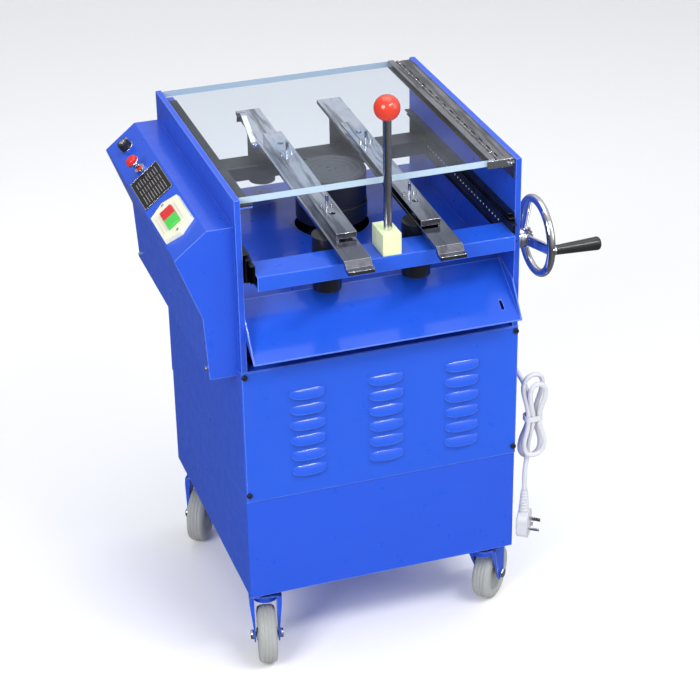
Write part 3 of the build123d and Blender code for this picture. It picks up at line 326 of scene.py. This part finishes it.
def clear_sheet():
    """Clear acrylic: see-through faces with gloss, and frosted sawn edges."""
    material = bpy.data.materials.new("clear_cover")
    material.use_nodes = True
    tree = material.node_tree
    nodes = tree.nodes
    links = tree.links
    edge = nodes["Principled BSDF"]
    edge.inputs["Base Color"].default_value = (0.42, 0.55, 0.66, 1)
    edge.inputs["Roughness"].default_value = 0.35
    clear = nodes.new("ShaderNodeBsdfTransparent")
    clear.inputs["Color"].default_value = (0.89, 0.92, 0.955, 1)
    gloss = nodes.new("ShaderNodeBsdfGlossy")
    gloss.inputs["Roughness"].default_value = 0.03
    haze = nodes.new("ShaderNodeBsdfDiffuse")
    haze.inputs["Color"].default_value = (0.72, 0.78, 0.86, 1)
    place = nodes.new("ShaderNodeTexCoord")

    # A faint film of haze lies over the faces.
    film = nodes.new("ShaderNodeTexNoise")
    film.inputs["Scale"].default_value = 9.0
    film.inputs["Detail"].default_value = 4.0
    links.new(place.outputs["Object"], film.inputs["Vector"])
    amount = map_range(tree, film.outputs["Fac"], 0.35, 0.7, 0.005, 0.04)
    hazy = mix_shaders(tree, amount, clear.outputs["BSDF"], haze.outputs["BSDF"])

    # Only the outward sides shine.
    fresnel = nodes.new("ShaderNodeFresnel")
    fresnel.inputs["IOR"].default_value = 1.2
    geometry = nodes.new("ShaderNodeNewGeometry")
    outside = math_node(tree, "SUBTRACT", 1.0, geometry.outputs["Backfacing"])
    sheen = math_node(tree, "MULTIPLY", fresnel.outputs["Fac"], outside)
    face = mix_shaders(tree, sheen, hazy, gloss.outputs["BSDF"])

    # The sheet's own normal tells a face from an edge, so it stays right when the cover is raised.
    upward = nodes.new("ShaderNodeVectorMath")
    upward.operation = "DOT_PRODUCT"
    upward.inputs[1].default_value = (0, 0, 1)
    links.new(place.outputs["Normal"], upward.inputs[0])
    is_face = math_node(tree, "GREATER_THAN", math_node(tree, "ABSOLUTE", upward.outputs["Value"]), 0.5)
    whole = mix_shaders(tree, is_face, edge.outputs["BSDF"], face)
    links.new(whole, nodes["Material Output"].inputs["Surface"])
    return material


CLEAR = clear_sheet()


# ------------------------------------------------------------------ piece helpers
def link(obj, material, body):
    """Puts a new piece in the scene on its body with its material."""
    if obj.name not in bpy.context.scene.collection.objects:
        bpy.context.scene.collection.objects.link(obj)
    obj.data.materials.append(material)
    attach(obj, body)
    return obj


def mesh_object(name, bm, smooth=True):
    mesh = bpy.data.meshes.new(name)
    bmesh.ops.recalc_face_normals(bm, faces=bm.faces)
    bm.to_mesh(mesh)
    bm.free()
    for polygon in mesh.polygons:
        polygon.use_smooth = smooth
    return bpy.data.objects.new(name, mesh)


def lathe(name, profile, place, axis, steps=64):
    """Turns a closed (radius, along) profile round an axis through place."""
    bm = bmesh.new()
    turn = Vector((0, 0, 1)).rotation_difference(Vector(axis)).to_matrix()
    rings = []
    for index in range(steps):
        angle = 2 * math.pi * index / steps
        ring = []
        for radius, along in profile:
            local = Vector((radius * math.cos(angle), radius * math.sin(angle), along))
            ring.append(bm.verts.new(turn @ local + Vector(place)))
        rings.append(ring)
    count = len(profile)
    for index in range(steps):
        here = rings[index]
        there = rings[(index + 1) % steps]
        for side in range(count):
            following = (side + 1) % count
            bm.faces.new((here[side], there[side], there[following], here[following]))
    return mesh_object(name, bm)


def soften(obj, width, segments=2):
    bevel = obj.modifiers.new("bevel", "BEVEL")
    bevel.width = width
    bevel.segments = segments
    bevel.limit_method = "ANGLE"
    bevel.angle_limit = math.radians(40)
    return obj


# ------------------------------------------------------------------ mains cord
CORD_DIAMETER = 8 * MM
HANK_MIDDLE = (0.25096, -0.196, 0.358)
lead_route = [
    (0.23096, -0.072, 0.446),
    (0.23146, -0.114, 0.440),
    (0.23796, -0.154, 0.425),
    (0.24596, -0.185, 0.402),
]
# Offsets in millimetres from the tie: across, towards the rear, up.
hank_route = [
    (-4.5, 8.0, 22),
    (-4.2, 4.3, 0),
    (-8, 6.0, -20),
    (-15.5, 8.0, -40),
    (-18.5, 8.5, -57),
    (-14.5, 8.5, -72.5),
    (0, 8.5, -78.5),
    (14.5, 8.5, -72.5),
    (18.5, 8.5, -57),
    (15.5, 8.0, -40),
    (8, 6.0, -20),
    (4.2, 4.3, 0),
    (8, 5.0, 20),
    (15.5, 6.0, 40),
    (18.8, 6.0, 57),
    (14.0, 5.0, 71),
    (0, 3.0, 76.5),
    (-14.0, 0.5, 71),
    (-18.8, -1.0, 57),
    (-16.5, -3.0, 40),
    (-11, -4.0, 20),
    (-8.4, -4.3, 0),
    (-11.5, -6.5, -20),
    (-17, -8.5, -36),
    (-18, -8.8, -50),
    (-12.5, -8.8, -63),
    (0, -8.8, -67.5),
    (12.5, -8.8, -63),
    (18, -8.8, -50),
    (17, -8.5, -36),
    (11.5, -6.5, -20),
    (8.4, -4.3, 0),
    (11.5, -6.5, 20),
    (17, -8.6, 36),
    (18.0, -8.8, 50),
    (12.5, -8.8, 61),
    (2.5, -8.8, 64.5),
    (-7, -8.8, 58),
    (-9.5, -8.8, 44),
    (-6, -7.0, 24),
    (0, -4.3, 0),
    (-2.5, -3.0, -20),
    (-6.5, -0.5, -44),
]
tail_route = [
    (0.24296, -0.196, 0.287),
    (0.23546, -0.204, 0.256),
    (0.23496, -0.208, 0.230),
]


def make_cord():
    route = list(lead_route)
    route += [tuple(m + o * MM for m, o in zip(HANK_MIDDLE, offset)) for offset in hank_route]
    route += tail_route
    curve = bpy.data.curves.new("mains_cord", "CURVE")
    curve.dimensions = "3D"
    spline = curve.splines.new("NURBS")
    spline.points.add(len(route) - 1)
    for point, place in zip(spline.points, route):
        point.co = (*place, 1.0)
    spline.order_u = 3
    spline.use_endpoint_u = True
    spline.resolution_u = 8
    curve.bevel_depth = CORD_DIAMETER / 2
    curve.bevel_resolution = 6
    curve.use_fill_caps = True
    cord = bpy.data.objects.new("mains_cord", curve)
    link(cord, CORD, "frame")
    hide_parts("cord_lead", "cord_hank", "cord_tail")
    relief_ribs()


RIB_COUNT = 7
RIB_PITCH = 5.3 * MM
FIRST_RIB_DROP = 4.0 * MM
RIB_RADIUS = 5.6 * MM
RIB_GROWTH = 2.6 * MM


def relief_ribs():
    """Moulded rings on the plug's strain relief, each wider than the one above it."""
    top = Vector(tail_route[-1])
    ribs = []
    for index in range(RIB_COUNT):
        drop = FIRST_RIB_DROP + index * RIB_PITCH
        radius = RIB_RADIUS + RIB_GROWTH * index / (RIB_COUNT - 1)
        profile = [
            (radius - 0.0012, -0.0015),
            (radius + 0.0003, -0.0013),
            (radius + 0.0008, 0.0),
            (radius + 0.0003, 0.0013),
            (radius - 0.0012, 0.0015),
        ]
        rib = lathe(f"relief_rib_{index}", profile, top - Vector((0, 0, drop)), (0, 0, 1), 32)
        ribs.append(link(rib, CORD, "frame"))
    return ribs


make_cord()

# ------------------------------------------------------------------ materials on the CAD pieces
CAD_MATERIALS = {
    "base_cabinet": BLUE,
    "upper_cabinet": BLUE,
    "louvre_panel": BRIGHT_BLUE,
    "panel_screws": BLACK,
    "side_wall_left": BLUE,
    "side_wall_right": BLUE,
    "deck_plate": BLUE,
    "chute_flap": BRIGHT_BLUE,
    "control_box": BLUE,
    "control_screws": CHROME,
    "nameplate": PLATE,
    "estop_collar": CHROME,
    "switch_housing": CREAM,
    "cover_rest_strip": STRIP,
    "cover_rail": TRIM,
    "slide_outers": SLIDE,
    "slide_middles": SLIDE,
    "slide_inners": SLIDE,
    "handwheel_bush": BRIGHT,
    "lift_guides": BRIGHT,
    "caster_plates": BRIGHT,
    "cord_gland": CORD,
    "cord_tie": CORD,
    "plug_body": CORD,
    "plug_pins": BRIGHT,
    "front_bar": BRIGHT_BLUE,
    "rear_bar": BLUED,
    "lever_block": NYLON,
    "lever_rod": BRIGHT,
    "lever_ball": BALL,
    "rail_strip_left": RAIL,
    "rail_strip_right": RAIL,
    "rail_plate_left": RAIL,
    "rail_plate_right": RAIL,
    "rail_supports_left": BLACK,
    "rail_supports_right": BLACK,
    "rail_spring": RAIL,
    "cover_runner": RUNNER,
    "cover_hinge_leaf": RUNNER,
    "cover_panel": CLEAR,
    "cutter_motor": MOTOR,
    "cutter_disc": DISC,
    "cutter_drum": DRUM,
    "handwheel": CHROME,
    "handwheel_grip": KNOB,
    "speed_knob": KNOB,
    "estop_button": RED,
    "stop_button": RED,
    "start_button": GREEN,
}
CORNERS = ("front_left", "front_right", "rear_left", "rear_right")
for corner in CORNERS:
    CAD_MATERIALS[f"caster_fork_{corner}"] = BLUE

for node_name, chosen in CAD_MATERIALS.items():
    node_object = NODES[node_name]
    node_object.data.materials.clear()
    node_object.data.materials.append(chosen)


# ------------------------------------------------------------------ caster wheels
CASTER_TURNS = {"front_left": 167.0, "front_right": -45.0, "rear_left": 150.0, "rear_right": 30.0}
WHEEL_RADIUS = 47.5 * MM
TYRE_HALF = 15.0 * MM
HUB_HALF = 17.0 * MM
TREAD_GROOVES = (-6.0 * MM, 0.0, 6.0 * MM)
AXLE_NUT_PROFILE = [
    (0.0001, 0.0204),
    (0.0078, 0.0204),
    (0.0078, 0.0255),
    (0.0068, 0.0264),
    (0.0001, 0.0265),
]


def make_wheel(corner):
    low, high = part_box(f"caster_wheel_{corner}")
    centre = (low + high) / 2
    centre.z = WHEEL_RADIUS
    turn = math.radians(CASTER_TURNS[corner])
    axis = (math.cos(turn), math.sin(turn), 0)
    body = f"wheel_{corner}"
    tread = [
        (WHEEL_RADIUS - 0.018, -TYRE_HALF + 0.002),
        (WHEEL_RADIUS - 0.0165, -TYRE_HALF),
        (WHEEL_RADIUS - 0.008, -TYRE_HALF),
        (WHEEL_RADIUS - 0.003, -TYRE_HALF + 0.0015),
        (WHEEL_RADIUS - 0.0008, -TYRE_HALF + 0.0055),
    ]
    for groove in TREAD_GROOVES:
        tread += [
            (WHEEL_RADIUS, groove - 0.0013),
            (WHEEL_RADIUS - 0.0009, groove - 0.0006),
            (WHEEL_RADIUS - 0.0009, groove + 0.0006),
            (WHEEL_RADIUS, groove + 0.0013),
        ]
    tread += [
        (WHEEL_RADIUS - 0.0008, TYRE_HALF - 0.0055),
        (WHEEL_RADIUS - 0.003, TYRE_HALF - 0.0015),
        (WHEEL_RADIUS - 0.008, TYRE_HALF),
        (WHEEL_RADIUS - 0.0165, TYRE_HALF),
        (WHEEL_RADIUS - 0.018, TYRE_HALF - 0.002),
    ]
    tyre = lathe(f"tyre_{corner}", tread, centre, axis, 96)
    link(tyre, TYRE, body)
    hub_profile = [
        (0.00405, -HUB_HALF),
        (0.0095, -HUB_HALF),
        (0.0105, -HUB_HALF + 0.001),
        (0.011, -0.011),
        (0.0135, -0.0105),
        (0.0255, -0.0105),
        (0.0275, -0.0135),
        (0.0296, -0.0137),
        (0.0296, 0.0137),
        (0.0275, 0.0135),
        (0.0255, 0.0105),
        (0.0135, 0.0105),
        (0.011, 0.011),
        (0.0105, HUB_HALF - 0.001),
        (0.0095, HUB_HALF),
        (0.00405, HUB_HALF),
    ]
    hub = lathe(f"hub_{corner}", hub_profile, centre, axis, 64)
    link(hub, HUB, body)
    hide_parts(f"caster_wheel_{corner}")
    for side, side_name in ((-1, "left"), (1, "right")):
        outward = tuple(side * part for part in axis)
        nut = lathe(f"axle_nut_{corner}_{side_name}", AXLE_NUT_PROFILE, centre, outward, 32)
        link(nut, CHROME, f"caster_{corner}")


for corner in CORNERS:
    make_wheel(corner)


# ------------------------------------------------------------------ louvred panel
LOUVRE_COLUMNS = (-122.0, 5.0, 130.0)
LOUVRE_ROWS = 6
LOUVRE_PITCH = 27.0 * MM
LOUVRE_LENGTH = 56.0 * MM
LOUVRE_DEPTH = 7.0 * MM
LOUVRE_HALF_HEIGHT = 7.6 * MM
LOWEST_LOUVRE = 42.0 * MM
SHEET_THICKNESS = 1.5 * MM
CABINET_X = -11.04 * MM


def hood(bm, centre_x, centre_z, face_y):
    """One pressed louvre: rounded ends, a sloping back and an open lower lip."""
    across = 22
    down = 9
    half = LOUVRE_LENGTH / 2
    rise = LOUVRE_HALF_HEIGHT
    rows = []
    for j in range(down + 1):
        v = j / down
        row = []
        for i in range(across + 1):
            s = -math.cos(math.pi * i / across)
            reach = (1 - abs(s) ** 3.0) ** 0.5
            z = centre_z + rise - 2 * rise * v * (0.30 + 0.70 * reach) - rise * (1 - reach) * 0.35
            out = LOUVRE_DEPTH * reach * math.sin(0.5 * math.pi * v) ** 0.85
            row.append(bm.verts.new((centre_x + half * s, face_y - out, z)))
        rows.append(row)
    lip = []
    for i in range(across + 1):
        edge = rows[-1][i].co
        lip.append(bm.verts.new((edge.x, face_y + (edge.y - face_y) * 0.78, edge.z + 0.0006)))
    rows.append(lip)
    inside = []
    for i in range(across + 1):
        edge = rows[-1][i].co
        inside.append(bm.verts.new((edge.x, face_y, edge.z + 0.003)))
    rows.append(inside)
    made = []
    for j in range(len(rows) - 1):
        for i in range(across):
            corners = (rows[j][i], rows[j][i + 1], rows[j + 1][i + 1], rows[j + 1][i])
            face = bm.faces.new(corners)
            if j == len(rows) - 2:
                made.append(face)
    return made


def make_louvres():
    low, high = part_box("louvre_panel")
    back = high.y
    face_y = back - SHEET_THICKNESS
    bm = bmesh.new()
    bmesh.ops.create_cube(bm, size=1.0)
    for vertex in bm.verts:
        vertex.co.x = low.x if vertex.co.x < 0 else high.x
        vertex.co.y = face_y if vertex.co.y < 0 else back
        vertex.co.z = low.z if vertex.co.z < 0 else high.z
    sheet = mesh_object("louvre_sheet", bm, smooth=False)
    soften(sheet, 0.0006)
    link(sheet, BRIGHT_BLUE, "frame")
    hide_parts("louvre_panel")
    bm = bmesh.new()
    mouths = []
    lowest = low.z + LOWEST_LOUVRE
    for column in LOUVRE_COLUMNS:
        for row in range(LOUVRE_ROWS):
            mouths += hood(bm, CABINET_X + column * MM, lowest + row * LOUVRE_PITCH, face_y - 0.0001)
    # The mouths take the painted shade of the hollow behind each lip.
    for face in mouths:
        face.material_index = 1
    hoods = mesh_object("louvre_hoods", bm)
    link(hoods, BRIGHT_BLUE, "frame")
    hoods.data.materials.append(PAINTED_SHADE)


make_louvres()


# ------------------------------------------------------------------ lever ball
def make_ball():
    low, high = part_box("lever_ball")
    radius = (high.x - low.x) / 2
    centre = Vector(((low.x + high.x) / 2, (low.y + high.y) / 2, high.z - radius))
    profile = []
    for step in range(40):
        angle = math.pi / 2 - (math.pi - 0.42) * step / 39
        profile.append((radius * math.cos(angle), radius * math.sin(angle)))
    neck = profile[-1][1]
    profile += [(0.0068, neck), (0.0066, neck + 0.003), (0.0001, neck + 0.003)]
    profile[0] = (0.0001, radius)
    ball = lathe("lever_knob", profile, centre, (0, 0, 1), 72)
    link(ball, BALL, "carriage")
    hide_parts("lever_ball")


make_ball()

# ------------------------------------------------------------------ control panel details
PANEL_TOP = Vector((CABINET_X - 0.263, 0, 0.775))
PANEL_FOOT = Vector((CABINET_X - 0.313, 0, 0.735))
PANEL_DOWN = (PANEL_FOOT - PANEL_TOP).normalized()
PANEL_OUT = Vector((PANEL_DOWN.z, 0, -PANEL_DOWN.x))
PANEL_MIDDLE = (PANEL_FOOT - PANEL_TOP).length / 2
PANEL_NORMAL = tuple(PANEL_OUT)
CABINET_FRONT = -0.216

# Places along the panel, measured back from the cabinet's front.
SWITCH_Y = 110 * MM
NAMEPLATE_START = 194.4 * MM
NAMEPLATE_END = 295.6 * MM
ESTOP_Y = 308 * MM
KNOB_Y = 406 * MM

SWITCH_HEIGHT = 6 * MM
NAMEPLATE_HALF = 28.3 * MM
NAMEPLATE_THICKNESS = 0.8 * MM
BORDER_WIDTH = 1.5 * MM
SINK = 0.1 * MM


def on_panel(down, y, height=0.0):
    """A point on the sloping control panel; y is measured back from the cabinet's front."""
    place = PANEL_TOP + PANEL_DOWN * down + PANEL_OUT * height
    return Vector((place.x, CABINET_FRONT + y, place.z))


def panel_block(bm, down_range, y_range, heights):
    """A six-sided block that stands on the control panel."""
    corners = []
    for height in heights:
        for down, y in (
            (down_range[0], y_range[0]),
            (down_range[1], y_range[0]),
            (down_range[1], y_range[1]),
            (down_range[0], y_range[1]),
        ):
            corners.append(bm.verts.new(on_panel(down, y, height)))
    for face in ((0, 1, 2, 3), (7, 6, 5, 4), (0, 4, 5, 1), (1, 5, 6, 2), (2, 6, 7, 3), (3, 7, 4, 0)):
        bm.faces.new([corners[i] for i in face])


def make_nameplate():
    """A bright border and grey rules in place of the writing."""
    border = bmesh.new()
    upper = PANEL_MIDDLE - NAMEPLATE_HALF
    lower = PANEL_MIDDLE + NAMEPLATE_HALF
    inner_start = NAMEPLATE_START + BORDER_WIDTH
    inner_end = NAMEPLATE_END - BORDER_WIDTH
    for downs, ys in (
        ((upper, lower), (NAMEPLATE_START, inner_start)),
        ((upper, lower), (inner_end, NAMEPLATE_END)),
        ((upper, upper + BORDER_WIDTH), (inner_start, inner_end)),
        ((lower - BORDER_WIDTH, lower), (inner_start, inner_end)),
    ):
        panel_block(border, downs, ys, (NAMEPLATE_THICKNESS - SINK, NAMEPLATE_THICKNESS + 0.3 * MM))
    frame_strip = mesh_object("nameplate_border", border, smooth=False)
    link(frame_strip, BRIGHT, "frame")

    rules = bmesh.new()
    for row in range(9):
        down = PANEL_MIDDLE + (5 * row - 20) * MM
        for start, length in ((203, 30), (238, 18), (262, 24 - 3 * (row % 3))):
            panel_block(
                rules,
                (down - 0.5 * MM, down + 0.5 * MM),
                (start * MM, (start + length) * MM),
                (NAMEPLATE_THICKNESS - SINK, NAMEPLATE_THICKNESS + 0.15 * MM),
            )
    plate_rules = mesh_object("nameplate_rules", rules, smooth=False)
    link(plate_rules, HUB, "frame")


def make_switch_details():
    """The slots of the two screws, drawn as thin strips of painted shade, and a guard along each side of the
    buttons.
    """
    slot_bars = bmesh.new()
    for y in (SWITCH_Y - 45 * MM, SWITCH_Y + 45 * MM):
        panel_block(
            slot_bars,
            (PANEL_MIDDLE - 0.0019, PANEL_MIDDLE + 0.0019),
            (y - 0.0004, y + 0.0004),
            (SWITCH_HEIGHT + 0.00159, SWITCH_HEIGHT + 0.00166),
        )
    slots = mesh_object("switch_screw_slots", slot_bars, smooth=False)
    # The slots take the painted shade of the grooves.
    link(slots, PAINTED_SHADE, "frame")

    ridges = bmesh.new()
    for centre in (PANEL_MIDDLE - 18.5 * MM, PANEL_MIDDLE + 18.5 * MM):
        panel_block(
            ridges,
            (centre - 0.0016, centre + 0.0016),
            (SWITCH_Y - 30 * MM, SWITCH_Y + 30 * MM),
            (SWITCH_HEIGHT - SINK, SWITCH_HEIGHT + 0.0012),
        )
    guards = mesh_object("switch_guards", ridges, smooth=False)
    soften(guards, 0.0005)
    link(guards, CREAM, "frame")


def make_knob_details():
    """The speed knob's bright skirt ring and cap, and its white pointer."""
    place = on_panel(PANEL_MIDDLE, KNOB_Y)
    ring_profile = [(0.0100, 0.0003), (0.0119, 0.0003), (0.0119, 0.0012), (0.0100, 0.0012)]
    ring = lathe("knob_skirt_ring", ring_profile, place, PANEL_NORMAL)
    link(ring, CHROME, "knob")
    cap_profile = [(0.0001, 0.0132), (0.0055, 0.0132), (0.0058, 0.0136), (0.0050, 0.0142), (0.0001, 0.0143)]
    cap = lathe("knob_cap", cap_profile, place, PANEL_NORMAL)
    link(cap, CHROME, "knob")
    pointer = bmesh.new()
    panel_block(
        pointer,
        (PANEL_MIDDLE - 0.0105, PANEL_MIDDLE - 0.0062),
        (KNOB_Y - 0.0006, KNOB_Y + 0.0006),
        (0.0100, 0.01345),
    )
    pointer_mark = mesh_object("knob_pointer", pointer, smooth=False)
    link(pointer_mark, CORD, "knob")


def make_estop_details():
    """The emergency stop's stem, which clears the collar at full push, and its bright rim."""
    place = on_panel(PANEL_MIDDLE, ESTOP_Y)
    stem_profile = [(0.0041, 0.0104), (0.0055, 0.0104), (0.0055, 0.0196), (0.0041, 0.0196)]
    stem = lathe("estop_stem", stem_profile, place, PANEL_NORMAL, 48)
    link(stem, CHROME, "emergency_stop")
    rim_profile = [
        (0.0085, 0.0195),
        (0.0104, 0.0195),
        (0.0107, 0.0203),
        (0.0107, 0.0215),
        (0.0097, 0.0215),
        (0.0085, 0.0203),
    ]
    rim = lathe("estop_rim", rim_profile, place, PANEL_NORMAL, 64)
    link(rim, CHROME, "emergency_stop")


make_nameplate()
make_switch_details()
make_knob_details()
make_estop_details()

# ------------------------------------------------------------------ handwheel grip collar
def make_grip_collar():
    low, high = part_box("handwheel_grip")
    place = Vector((low.x, (low.y + high.y) / 2, (low.z + high.z) / 2))
    collar = lathe(
        "grip_collar",
        [(0.0062, -0.0065), (0.0078, -0.0060), (0.0078, -0.0010), (0.0070, -0.0003), (0.0062, -0.0003)],
        place,
        (1, 0, 0),
        48,
    )
    link(collar, CHROME, "hand_wheel")


make_grip_collar()


# ------------------------------------------------------------------ rivets along the slides
RIVET_COUNT = 26
RIVET_PITCH = 12.2 * MM
FIRST_RIVET = 56 * MM
RIVET_RADIUS = 1.5 * MM
RIVET_DEPTH = 0.8 * MM


def make_slide_rivets():
    low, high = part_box("slide_inners")
    corners = [vertex.co for vertex in NODES["slide_inners"].data.vertices]
    left_face = max(corner.x for corner in corners if corner.x < 0)
    right_face = min(corner.x for corner in corners if corner.x > 0)
    level = (low.z + high.z) / 2
    bm = bmesh.new()
    for face_x in (left_face, right_face):
        for step in range(RIVET_COUNT):
            place = Vector((face_x, low.y + FIRST_RIVET + RIVET_PITCH * step, level))
            stand = Matrix.Translation(place) @ Matrix.Rotation(math.pi / 2, 4, "Y")
            bmesh.ops.create_cone(
                bm,
                cap_ends=True,
                segments=12,
                radius1=RIVET_RADIUS,
                radius2=RIVET_RADIUS,
                depth=RIVET_DEPTH,
                matrix=stand,
            )
    rivets = mesh_object("slide_rivets", bm, smooth=False)
    # The rivets take the cord's pale grey, a painted highlight in place of the glints on the slide.
    link(rivets, CORD, "carriage")


make_slide_rivets()


# ------------------------------------------------------------------ end block of the cover's runner
def make_runner_end():
    low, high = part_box("cover_runner")
    bm = bmesh.new()
    bmesh.ops.create_cube(bm, size=1.0)
    for vertex in bm.verts:
        vertex.co.x = low.x - 0.0165 if vertex.co.x < 0 else high.x + 0.0004
        vertex.co.y = low.y - 0.0020 if vertex.co.y < 0 else low.y - 0.0001
        vertex.co.z = low.z - 0.0002 if vertex.co.z < 0 else high.z + 0.0004
    block = mesh_object("runner_end_block", bm, smooth=False)
    soften(block, 0.0006)
    link(block, BRIGHT, "cover_carrier")


make_runner_end()


# ------------------------------------------------------------------ floor and light
def plain(name, colour, roughness):
    """An even surface with a very slight drift of tone."""
    surface = Shader(name, colour, roughness)
    tone = surface.noise(1.4, 2.0)
    surface.tint(surface.remap(tone, 0.3, 0.7, 0.0, 0.05), tuple(0.96 * c for c in colour))
    return surface.material


FLOOR_REACH = 7.0
BEND_START = 3.2
BEND_RADIUS = 1.2
BEND_STEPS = 12
BACKDROP_TOP = 5.0


def make_stage():
    """A floor that bends up into a backdrop behind the machine."""
    bm = bmesh.new()
    profile = [(-FLOOR_REACH, 0.0), (BEND_START, 0.0)]
    for step in range(1, BEND_STEPS + 1):
        angle = math.pi / 2 * step / BEND_STEPS
        across = BEND_START + BEND_RADIUS * math.sin(angle)
        profile.append((across, BEND_RADIUS - BEND_RADIUS * math.cos(angle)))
    profile.append((BEND_START + BEND_RADIUS, BACKDROP_TOP))
    lines = []
    for y, z in profile:
        lines.append([bm.verts.new((x, y, z)) for x in (-FLOOR_REACH, FLOOR_REACH)])
    for here, there in zip(lines, lines[1:]):
        bm.faces.new((here[0], here[1], there[1], there[0]))
    floor = mesh_object("studio_floor", bm)
    floor.data.materials.append(plain("studio_floor", (0.93, 0.93, 0.93), 0.7))
    floor.visible_glossy = False
    bpy.context.scene.collection.objects.link(floor)


def area_light(name, place, aim, size, power, colour=(1, 1, 1)):
    data = bpy.data.lights.new(name, "AREA")
    data.shape = "RECTANGLE"
    data.size = size[0]
    data.size_y = size[1]
    data.energy = power
    data.color = colour
    lamp = bpy.data.objects.new(name, data)
    direction = Vector(aim) - Vector(place)
    lamp.matrix_world = Matrix.Translation(place) @ direction.to_track_quat("-Z", "Y").to_matrix().to_4x4()
    bpy.context.scene.collection.objects.link(lamp)


def make_world():
    """A soft sky that darkens towards the floor and towards the operator's left."""
    world = bpy.data.worlds.new("studio")
    bpy.context.scene.world = world
    world.use_nodes = True
    tree = world.node_tree
    background = tree.nodes["Background"]
    background.inputs["Color"].default_value = (0.93, 0.95, 1.0, 1)
    split = tree.nodes.new("ShaderNodeSeparateXYZ")
    tree.links.new(tree.nodes.new("ShaderNodeTexCoord").outputs["Generated"], split.inputs["Vector"])
    height = map_range(tree, split.outputs["Z"], -0.25, 0.45, 0.16, 0.82)
    side = map_range(tree, split.outputs["X"], -0.8, 0.2, 0.25, 1.0)
    tree.links.new(math_node(tree, "MULTIPLY", height, side), background.inputs["Strength"])


def make_lights():
    area_light("key", (-2.7, -2.1, 2.5), (0, 0, 0.5), (1.6, 1.6), 96)
    area_light("fill", (2.6, -1.8, 1.8), (0, 0, 0.45), (1.6, 2.0), 21)
    area_light("top", (0.2, 0.4, 3.2), (0, 0, 0.5), (2.4, 2.0), 30)
    area_light("strip", (0.95, -1.9, 2.75), (0, -0.2, 0.42), (1.5, 0.10), 38)


make_stage()
make_world()
make_lights()
